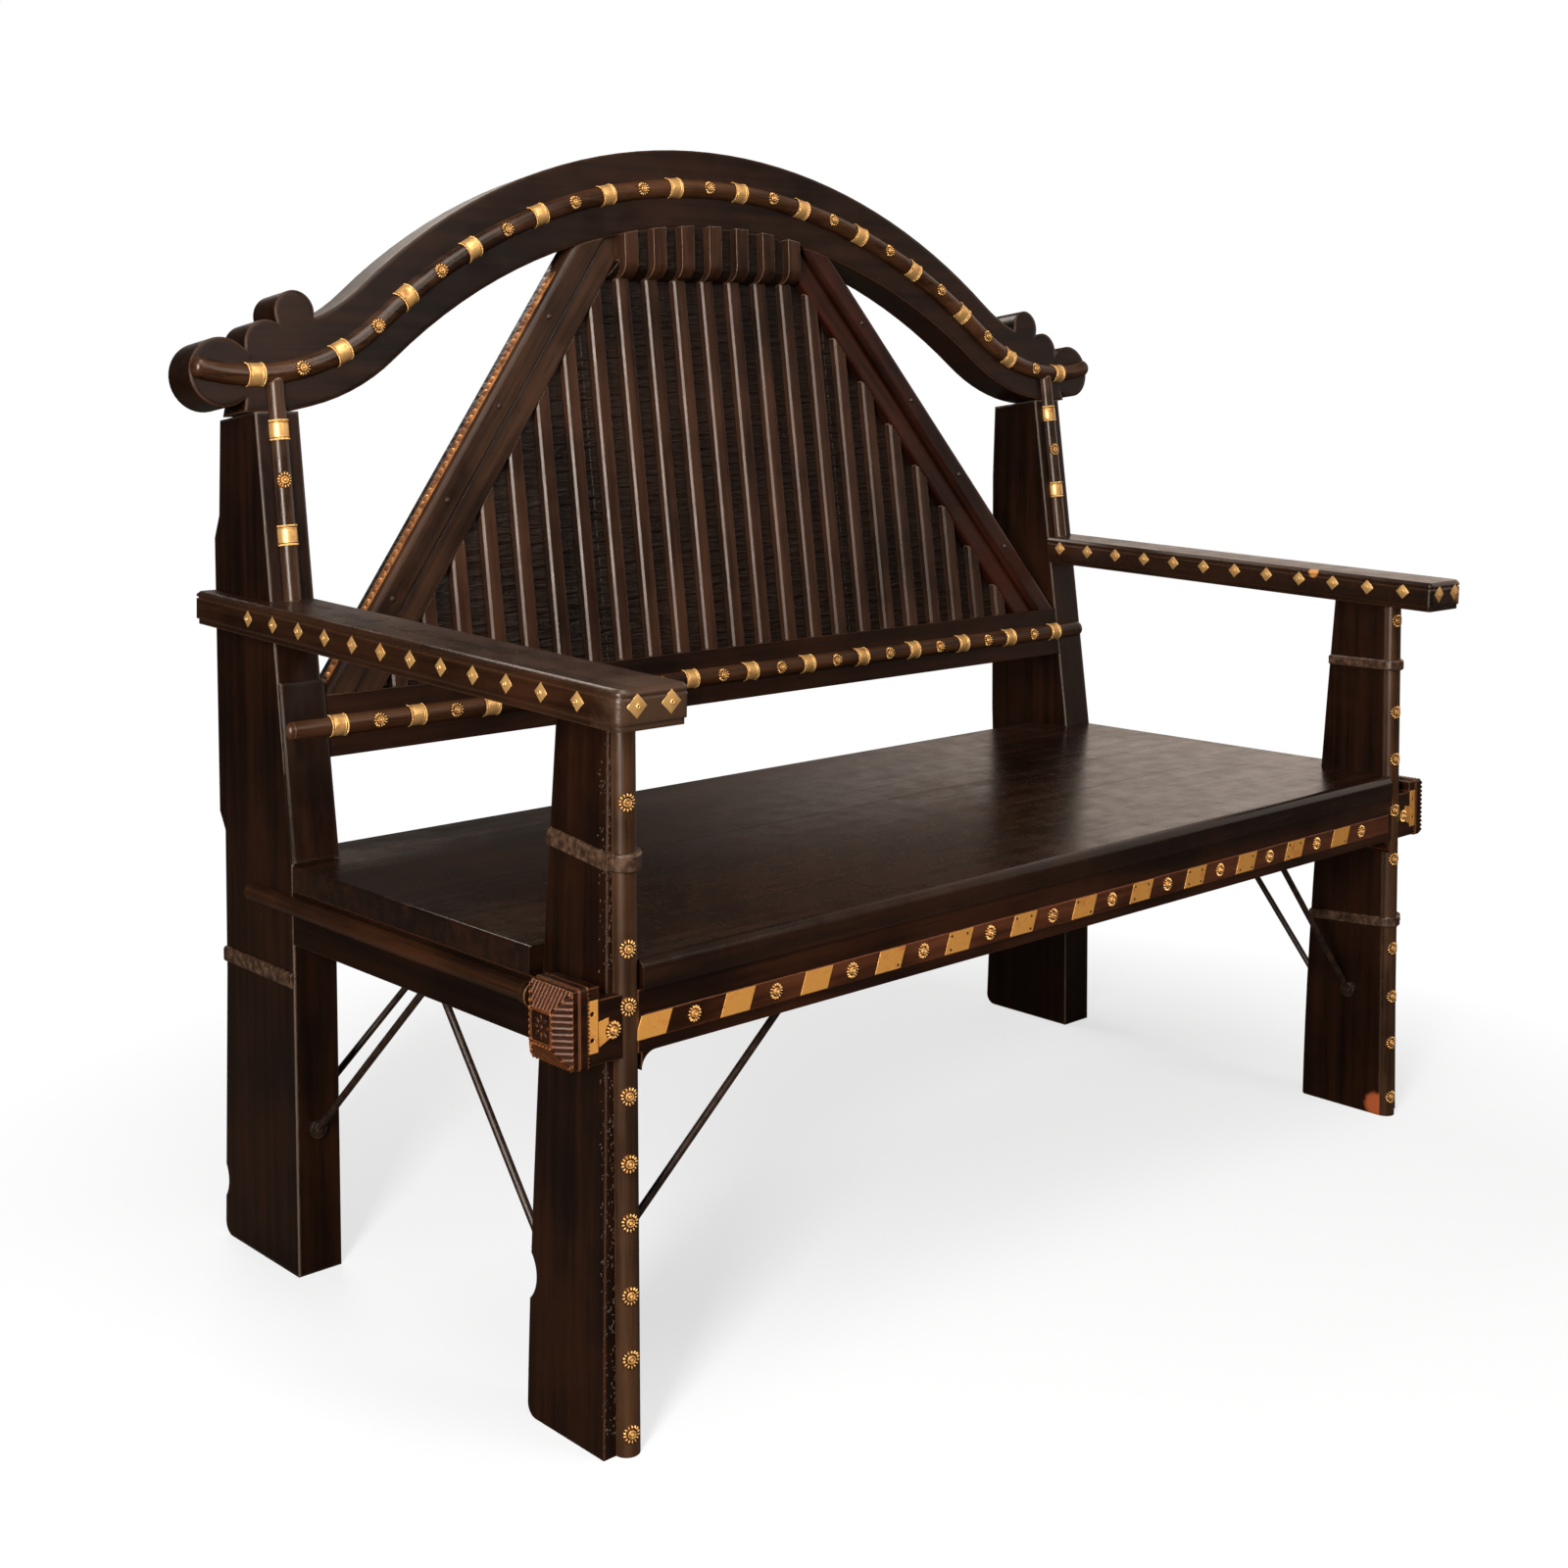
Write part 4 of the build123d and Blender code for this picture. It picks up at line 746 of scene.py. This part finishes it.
# %% Piece
def piece(name, mesh, finish, slot, *nodes):
    """Makes an object of a bmesh in millimetres, which stands for some CAD nodes."""
    coats = finish if isinstance(finish, tuple) else (finish,)
    bmesh.ops.remove_doubles(mesh, verts=mesh.verts, dist=0.001)
    bmesh.ops.recalc_face_normals(mesh, faces=mesh.faces)
    bmesh.ops.scale(mesh, vec=(MM, MM, MM), verts=mesh.verts)
    made = bpy.data.objects.new(name, bpy.data.meshes.new(name))
    mesh.to_mesh(made.data)
    mesh.free()
    scene.collection.objects.link(made)
    made.data.shade_smooth()
    made.data.set_sharp_from_angle(angle=radians(35))
    for coat in coats:
        made.data.materials.append(coat)
    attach(made, "root")
    if nodes:
        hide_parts(*nodes)
    print(name, len(made.data.polygons), "faces")


# %% [markdown]
# ## Many from one
# Studs, bands and domes are repeated dozens of times. Separate objects for them would
# crowd the scene, so one mesh gets a copy of a template at each place. A bent or turned
# template starts as a profile: a chain of edges, which Spin then sweeps.


# %% Copies and profiles
def copies(template, places, joined=None):
    """One mesh with a copy of the template at each place, or joined with them added."""
    pattern = bpy.data.meshes.new("pattern")
    template.to_mesh(pattern)
    template.free()
    if joined is None:
        joined = bmesh.new()
    for place in places:
        before = len(joined.verts)
        joined.from_mesh(pattern)
        joined.verts.ensure_lookup_table()
        bmesh.ops.transform(joined, matrix=place, verts=joined.verts[before:])
    bpy.data.meshes.remove(pattern)
    return joined


def profile(mesh, points):
    """Joins a few points by edges, ready to be spun or extruded."""
    verts = [mesh.verts.new(point) for point in points]
    return verts + [mesh.edges.new(pair) for pair in zip(verts, verts[1:])]


# %% [markdown]
# ## Brass bands
# Each band is a strip of thin brass bent over the bead: plain in the middle, with an
# engraved line and a rope of tiny beads along both rims. It could be a plain strip with a
# bump map, but the rims catch the light. Half a turn of Spin bends its profile round the
# bead, Holes Fill closes its two cut ends, and the ropes are icospheres of 20 faces,
# because there are hundreds.


# %% Bands
def band(radius, length):
    """A band round a bead of a radius, whose axis is X."""
    mesh = bmesh.new()
    end = length / 2
    half = [(end, -0.4), (end, 0.55), (end - 1.9, 0.55), (end - 2.3, 0.3), (end - 3.0, 0.3)]
    half += [(end - 3.3, 0.85), (end - 3.9, 0.85), (end - 4.2, 0.35), (end - 6.5, 0.6)]
    points = half + [(-x, rise) for x, rise in reversed(half)] + half[:1]
    strip = profile(mesh, [(x, radius + rise, 0) for x, rise in points])
    bmesh.ops.spin(mesh, geom=strip, cent=(0, 0, 0), axis=(1, 0, 0), angle=pi, steps=16)
    bmesh.ops.remove_doubles(mesh, verts=mesh.verts, dist=0.001)
    bmesh.ops.holes_fill(mesh, edges=mesh.edges, sides=0)
    engraved, beads = radius + 0.33, 15
    for face in mesh.faces:
        middle = face.calc_center_median()
        face.material_index = int((middle.y**2 + middle.z**2) ** 0.5 < engraved)
    for step in range(beads):
        tilt = Matrix.Rotation((step + 0.5) * pi / beads, 4, "X")
        for x in (0.95 - end, end - 0.95):
            bead = tilt @ Matrix.Translation((x, radius + 0.55, 0))
            bmesh.ops.create_icosphere(mesh, subdivisions=1, radius=1.0, matrix=bead)
    return mesh


crest_bead_radius, lower_rod_radius, post_rod_radius = 11.9, 10.9, 10.4
for name, radius, length, places in (
    ("crest", crest_bead_radius, 20.5, crest_places[0::2]),
    ("rail", lower_rod_radius, 20.5, rail_places[0::2]),
    ("post", post_rod_radius, 22, post_band_places),
):
    sheets = copies(band(radius, length), places)
    piece(f"{name}_band_sheets", sheets, stamped, "brass", f"{name}_bands")

# %% [markdown]
# ## Rosettes
# A rosette has a round boss, a ring and a rim of petals. A full turn of Spin makes the disc
# from its profile, and the petals are stretched icospheres. Bending the sheet with a
# modifier would need an object for each stud, so on a bead the flat disc is wrapped by a
# sum: a point's distance from the bead's axis stays, and its distance to the side becomes a
# turn about the axis. The ones on the beam lie flat and stand higher.


# %% Rosettes
def full_spin(mesh, geometry, axis, steps):
    """A full turn of Spin about the origin, whose last step is joined to the first."""
    bmesh.ops.spin(
        mesh, geom=geometry, cent=(0, 0, 0), axis=axis, angle=2 * pi, steps=steps, use_merge=True
    )


def rosette(radius, wrap=None, swell=1.0):
    """A rosette of a radius, wrapped round a bead of the radius wrap."""
    mesh = bmesh.new()
    share = radius / 9.3
    points = [(0, 2.9), (1.1, 2.6), (1.6, 1.8), (1.8, 0.4), (2.5, 0.4), (2.8, 1.5), (3.6, 1.6)]
    points += [(4.0, 0.3), (9.0, 0.2), (9.3, 0.0), (9.3, -0.6), (0, -0.6)]
    turned = profile(mesh, [(x * share, 0, rise * swell) for x, rise in points])
    full_spin(mesh, turned, (0, 0, 1), 24)
    for face in mesh.faces:
        face.material_index = int(face.calc_center_median().z < 0.8 * swell)
    petals = 14
    for step in range(petals):
        petal = Matrix.Rotation(step * 2 * pi / petals, 4, "Z")
        petal = petal @ Matrix.Translation((6.9 * share, 0, 0.3 * swell))
        petal = petal @ Matrix.Diagonal((1.8 * share, 0.95 * share, 1.2 * swell, 1))
        bmesh.ops.create_icosphere(mesh, subdivisions=1, radius=1, matrix=petal)
    if wrap:
        for vert in mesh.verts:
            angle, out = vert.co.y / wrap, wrap + vert.co.z
            vert.co.y, vert.co.z = out * sin(angle), out * cos(angle)
    return mesh


for name, node, mesh, places in (
    ("crest_studs", "crest_rosettes", rosette(9.3, crest_bead_radius), crest_places[1::2]),
    ("rail_studs", "rail_rosettes", rosette(9.3, lower_rod_radius), rail_places[1::2]),
    ("post_studs", "post_rosettes", rosette(9.3, post_rod_radius), post_stud_places),
    ("leg_studs", "leg_rosettes", rosette(9.0, 12.3), leg_places),
    ("beam_studs", "beam_rosettes", rosette(8.4, None, 1.8), beam_places),
    ("beam_end_studs", "beam_end_bosses", rosette(8.6, None, 2.0), beam_end_places),
):
    piece(name, copies(mesh, places), stamped, "brass", node)

# %% [markdown]
# ## Embossed edge strips
# The strips along the panel's slanting edges are pressed into a row of small domes. The
# domes are flattened icospheres, and they ride on the plain strip of the CAD model. A bump
# map would do from afar, but the row shows against the white ground.


# %% Domes
def dome(length, width, rise):
    mesh = bmesh.new()
    shape = Matrix.Diagonal((length / 2, width / 2, rise, 1))
    bmesh.ops.create_icosphere(mesh, subdivisions=2, radius=1, matrix=shape)
    return mesh


strip_foot, strip_shoulder, strip_depth = (604, 611), (231, 1087), 14
first_dome, dome_pitch, dome_count = 16, 9.4, 61
strip_places = []
for side in (-1, 1):
    foot, shoulder = (
        Vector((side * x, up_rake(height), -strip_depth))
        for x, height in (strip_foot, strip_shoulder)
    )
    rise = (shoulder - foot).normalized()
    outward = Vector((side * rise.y, side * -rise.x, 0))
    face = back_face @ plane(foot + outward * 0.9, rise, outward)
    strip_places += [face @ at(first_dome + step * dome_pitch, 0) for step in range(dome_count)]
piece("edge_strip_domes", copies(dome(8.6, 10.5, 1.6), strip_places), strip_brass, "brass_plate")

# %% [markdown]
# ## Diamonds on the arms
# Each diamond is a low pyramid of sheet brass, with a ring in its middle and a dark nail in
# the ring. A square could be extruded and scaled into the pyramid, but a cone of four
# segments is that in one step. A full turn of Spin makes the ring, and an icosphere the
# nail's head. They stand along both sides of each arm, and two larger ones on its front end.


# %% Diamonds
def diamond(half_width):
    mesh = bmesh.new()
    raised = Matrix.Translation((0, 0, 0.85))
    bmesh.ops.create_cone(
        mesh, cap_ends=True, segments=4, radius1=half_width, radius2=2.4, depth=1.9, matrix=raised
    )
    rim = [(1.2, 0, 1.6), (1.3, 0, 2.3), (2.0, 0, 2.3), (2.4, 0, 1.7), (1.2, 0, 1.6)]
    full_spin(mesh, profile(mesh, rim), (0, 0, 1), 10)
    brass_faces = len(mesh.faces)
    nail = Matrix.Translation((0, 0, 1.6)) @ Matrix.Diagonal((1.25, 1.25, 0.4, 1))
    bmesh.ops.create_icosphere(mesh, subdivisions=1, radius=1, matrix=nail)
    mesh.faces.ensure_lookup_table()
    for face in mesh.faces[brass_faces:]:
        face.material_index = 1
    return mesh


arm_slope = radians(2.27)
arm_run = Vector((0, cos(arm_slope), sin(arm_slope)))
arm_front, arm_top, arm_outer, arm_inner = -367.8, 689.5, 678, 601
diamonds_in_row = 12
outer_first, outer_pitch, outer_drop = 56, 51.5, 17
inner_first, inner_pitch, inner_drop = 39, 50, 14
end_offset, end_drop = 18.5, 14.5
for side, name in ((-1, "left"), (1, "right")):
    outer = plane((side * arm_outer, arm_front, arm_top), side * arm_run, (side, 0, 0))
    inner = plane((side * arm_inner, arm_front, arm_top), -side * arm_run, (-side, 0, 0))
    end = plane((side * (arm_outer + arm_inner) / 2, arm_front, arm_top), (1, 0, 0), -arm_run)
    along_arm = [
        outer @ at(side * (outer_first + step * outer_pitch), -outer_drop)
        for step in range(diamonds_in_row)
    ]
    along_arm += [
        inner @ at(-side * (inner_first + step * inner_pitch), -inner_drop)
        for step in range(diamonds_in_row)
    ]
    at_end = [end @ at(offset, -end_drop) for offset in (-end_offset, end_offset)]
    studs = copies(diamond(9.6), along_arm)
    studs = copies(diamond(11.2), at_end, studs)
    piece(f"diamonds_{name}", studs, stamped, "brass", f"arm_diamonds_{name}")

# %% [markdown]
# ## Rounded ends of the mouldings
# The crest's bead, the lower rod and the posts' rods end in soft, worn knobs. A sphere would
# look like a ball on a stick, so each is a blunter profile, spun round the moulding's axis.
# It starts 2 mm inside the moulding, which hides the seam.


# %% Moulding ends
def knob(radius, length):
    """A rounded end on the axis X. The moulding ends at x = 0."""
    mesh = bmesh.new()
    curve = ((0.3, 1.0), (0.55, 0.9), (0.8, 0.68), (0.95, 0.36), (1, 0))
    outline = [(-2, 0, 0), (-2, 0, 0.97 * radius)]
    outline += [(x * length, 0, out * radius) for x, out in curve]
    full_spin(mesh, profile(mesh, outline), (1, 0, 0), 24)
    return mesh


crest_bead_reach, lower_rod_reach = 771.5, 645
half_turn = Matrix.Rotation(pi, 4, "Z")
crest_ends = [crest_station(side * crest_bead_reach) for side in (-1, 1)]
crest_ends[0] = crest_ends[0] @ half_turn
piece("crest_bead_ends", copies(knob(11.7, 10.8), crest_ends), timber["bead_x"], "bead_wood")
rod_ends = [back_face @ at(side * lower_rod_reach, up_rake(rod_height)) for side in (-1, 1)]
rod_ends[0] = rod_ends[0] @ half_turn
piece("lower_rod_ends", copies(knob(10.7, 9), rod_ends), timber["bead_x"], "bead_wood")
post_ends = []
for name in ("post_rod_left", "post_rod_right"):
    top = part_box(name)[1][2] / MM
    side = -1 if "left" in name else 1
    post_ends.append(back_face @ at(side * post_x, up_rake(top - 1.3), upright))
piece("post_rod_ends", copies(knob(10.2, 9), post_ends), timber["bead_z"], "bead_wood")

# %% [markdown]
# ## Chisel marks
# The floor between the slats was cut down with a gouge, across the grain, and the strokes
# left low ridges. The finish has some relief of its own, but it is too shallow for the long
# strokes. So every gap has its own row of lying cones of six sides, unevenly spaced, up to
# the batten or the cove that ends it.

# %% Ridges between the slats
stroke = bmesh.new()
lying = Matrix.Rotation(pi / 2, 4, "Y")
bmesh.ops.create_cone(
    stroke, cap_ends=True, segments=6, radius1=1, radius2=0.7, depth=1, matrix=lying
)
chance = Random(23)
slat_pitch, panel_depth, first_stroke = 45.4, 20.1, 622
panel_foot, panel_top, panel_half_width, panel_slope = 611, 1060, 500, 0.7836
strokes = []
for gap in range(-11, 11):
    x = (gap + 0.5) * slat_pitch
    height = first_stroke
    ceiling = min(panel_top, panel_foot + (panel_half_width - abs(x)) / panel_slope)
    while height < ceiling:
        size = (chance.uniform(18, 24.5), chance.uniform(1.5, 4), chance.uniform(0.6, 1.7), 1)
        shift = chance.uniform(-0.5, 0.5)
        place = back_face @ at(x + shift, up_rake(height), chance.gauss(0, 0.05))
        sunk = Matrix.Translation((0, 0, -panel_depth))
        strokes.append(place @ sunk @ Matrix.Diagonal(size))
        height += chance.uniform(7, 20)
piece("panel_chisel_marks", copies(stroke, strokes), timber["ground"], "panel_wood")

# %% [markdown]
# ## Fluted ends of the beam
# The sloping faces of the beam's ends are fluted: on each, a row of parallel ridges runs
# from the plain fillet to the small square face at the end, and those near the corners stop
# earlier, where two faces meet. Cutting grooves with booleans would be slow and fragile, so
# each ridge is a slender cone that lies half in the slope.

# %% Flutes
beam_y, beam_z = -279.8, 392.0  # centre of the beam's ends
flute_foot, flute_tip, square_x = 683.5, 695.5, 695.7
flutes = 12  # on each slope


def rod(mesh, start, end, radius, tip_radius):
    """Adds a tapering ridge between two points."""
    run = Vector(end) - Vector(start)
    aim = run.to_track_quat("Z", "Y").to_matrix().to_4x4()
    middle = Matrix.Translation((Vector(start) + Vector(end)) / 2)
    bmesh.ops.create_cone(
        mesh,
        cap_ends=True,
        segments=8,
        radius1=radius,
        radius2=tip_radius,
        depth=run.length,
        matrix=middle @ aim,
    )


def flute_rows(mesh, side):
    """Adds the ridges of the four slopes of one end."""
    foot_x = side * flute_foot
    for step in range(flutes):  # the front and back slopes, then the lower and upper ones
        share = (step + 0.5) * 2 / flutes - 1
        reach = min(1, (1 - abs(share)) * 2)
        end_x = foot_x + reach * side * (flute_tip - flute_foot)
        for way in (-1, 1):
            y, z = beam_y + way * 30, beam_z + share * 33
            rod(mesh, (foot_x, y, z), (end_x, y - way * 14.5 * reach, z), 2.3, 1.9)
            y, z = beam_y + share * 29, beam_z + way * 34
            rod(mesh, (foot_x, y, z), (end_x, y, z - way * 18.5 * reach), 2.1, 1.8)


print("ridges on each end:", 4 * flutes)

# %% [markdown]
# The square has a raised border and a flower of eight petals, both worn soft. A displacement
# could raise the petals, but it would need a dense grid. Flattened icospheres, sunk to half
# their height, do not.


# %% Flower in a border
def flower_square(mesh, side):
    """Adds the border and the flower of one end."""
    corners = [(-14, -14), (14, -14), (14, 14), (-14, 14)]
    for first, second in zip(corners, corners[1:] + corners[:1]):
        start = (side * square_x, beam_y + first[0], beam_z + first[1])
        rod(mesh, start, (side * square_x, beam_y + second[0], beam_z + second[1]), 1.4, 1.4)
    middle = Matrix.Translation((side * square_x, beam_y, beam_z))
    petals = [middle @ Matrix.Diagonal((1.4, 2.8, 2.8, 1))]
    for step in range(8):
        out = Matrix.Rotation(step * pi / 4, 4, "X") @ Matrix.Translation((0, 7.6, 0))
        petals.append(middle @ out @ Matrix.Diagonal((1.1, 3.6, 1.9, 1)))
    for petal in petals:
        bmesh.ops.create_icosphere(mesh, subdivisions=2, radius=1, matrix=petal)


carving = bmesh.new()
for side in (-1, 1):
    flute_rows(carving, side)
    flower_square(carving, side)
piece("beam_end_carving", carving, timber["carving"], "dark_wood")

# %% [markdown]
# ## Ropes and tongues
# Beside each end's brass plate a rope of tiny carved beads goes round the beam, and a
# slanting tongue of brass joins the plate to the stud. A bump couldn't turn the rope round
# the beam's corners, so it is a row of icospheres, as on the bands. The tongue is an
# extruded face.


# %% Ropes and tongues
def slab(mesh, corners, thickness):
    """Adds a flat plate: a face of the corners, extruded by a vector."""
    verts = [mesh.verts.new(corner) for corner in corners]
    sheet = bmesh.ops.extrude_face_region(mesh, geom=[mesh.faces.new(verts)])
    pulled = [v for v in sheet["geom"] if isinstance(v, bmesh.types.BMVert)]
    bmesh.ops.translate(mesh, vec=thickness, verts=pulled)


ropes = bmesh.new()
tongues = bmesh.new()
rope_x, rope_beads = 668.6, 20
tongue = [(656, 373), (657, 395), (646, 397), (645, 378)]
for side in (-1, 1):
    for step in range(rope_beads):
        across = -29 + step * 58 / (rope_beads - 1)
        upwards = across * 1.15
        for y, z in ((-30.4, upwards), (across, 34.4), (across, -34.4), (30.4, upwards)):
            bead = Matrix.Translation((side * rope_x, beam_y + y, beam_z + z))
            bmesh.ops.create_icosphere(ropes, subdivisions=1, radius=1.7, matrix=bead)
    slab(tongues, [(side * x, -310.1, z) for x, z in tongue], (0, 0.6, 0))
piece("beam_end_ropes", ropes, timber["carving"], "dark_wood")
piece("beam_end_tongues", tongues, plate_brass, "brass_plate")

# %% [markdown]
# ## Band and pins
# A strip of reddish brown runs along the beam under the plates and the studs. It is a thin
# slab and not a stripe in the beam's colour, because its edges catch a little light. A
# plate lies to the left of each stud, and all but the first three are held by dark pins,
# which are low domes. Many pins are lost, and chance decides which.

# %% Band and pins
band_strip = bmesh.new()
corners = [(-606, 368.5), (606, 368.5), (606, 391.5), (-606, 391.5)]
slab(band_strip, [(x, -309.9, z) for x, z in corners], (0, -0.35, 0))
piece("beam_band", band_strip, timber["beam_band"], "dark_wood")

plate_offset, bare_plates, pin_share = -47, 3, 0.6
pin_places = ((-11, 387), (12, 386), (-13, 373.5), (10, 373))
plate_pins = []
for step, stud_x in enumerate(beam_xs):
    for x, z in pin_places:
        if step >= bare_plates and chance.random() < pin_share:
            raised = Matrix.Translation((0, 0, 0.8))
            plate_pins.append(beam_face @ at(stud_x + plate_offset + x, z) @ raised)
piece("plate_pins", copies(dome(3.4, 3.0, 0.6), plate_pins), stay_iron, "iron")

# %% [markdown]
# ## Flaking filler
# Beside the beads of the front legs the old filler has flaked, and left a rough line of
# crumbs, mostly on the left leg. A particle system could scatter them, but a seeded loop
# gives the same crumbs each time. It leaves out the heights where the beam passes.

# %% Crumbs
crumb_counts = {-1: 360, 1: 90}
filler_inner_x, filler_width = 635, 14
beam_low, beam_high = 350, 432
crumb_places = []
for side, count in crumb_counts.items():
    for step in range(count):
        height = chance.uniform(12, 648)
        if beam_low < height < beam_high:
            continue
        x = filler_inner_x + chance.random() ** 2 * filler_width
        size = Matrix.Diagonal((chance.uniform(0.4, 1.1), chance.uniform(0.5, 2.2), 0.45, 1))
        crumb_places.append(leg_face @ at(side * x, height, chance.gauss(0, 0.5)) @ size)
crumb = bmesh.new()
bmesh.ops.create_icosphere(crumb, subdivisions=1, radius=1)
piece("leg_filler_crumbs", copies(crumb, crumb_places), filler, "dark_wood")

# %% [markdown]
# ## Block on the left post
# A thin board is set on the front of the left post between the seat and the arm. Its top
# edge is pale, partly worn and partly a painted sheen, and the lower rod's end lies over it.
# It is a flat slab with its front edges bevelled by an operator, because they are wide
# enough to show as more than shading.

# %% Post block
block = bmesh.new()
block_back, block_thickness = -2, 6.5
low, high = up_rake(441.5), up_rake(629)
corners = [(-656.5, low), (-601.5, low), (-602.5, high), (-655.5, high)]
slab(block, [(x, y, block_back) for x, y in corners], (0, 0, block_thickness))
rims = [edge for edge in block.edges if all(vert.co.z > 0 for vert in edge.verts)]
bmesh.ops.bevel(block, geom=rims, offset=2.2, segments=3, profile=0.5, affect="EDGES", material=-1)
bmesh.ops.transform(block, matrix=back_face, verts=block.verts)
piece("post_block_left", block, timber["post"], "dark_wood")

# %% [markdown]
# ## Wax in the seat's joints
# The joints between the three boards of the seat are narrow, and old wax and dust have
# filled the groove of each. An empty groove would show a row of glints, because its hard
# edges mirror the lamps. A filling is a thin slab with an uneven top, just below the
# boards' own.

# %% Joints of the seat
wax = bmesh.new()
half_length, wax_steps, groove_foot, wax_width = 604, 50, 430, 1.3
for board in ("front", "middle"):
    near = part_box(f"seat_board_{board}")[1][1] / MM - 0.5
    outline = [(-half_length, near, groove_foot), (half_length, near, groove_foot)]
    for step in range(wax_steps + 1):
        x = half_length - step * 2 * half_length / wax_steps
        outline.append((x, near, chance.uniform(438.8, 439.4)))
    slab(wax, outline, (0, wax_width, 0))
piece("seat_joint_wax", wax, filler, "seat_wood")
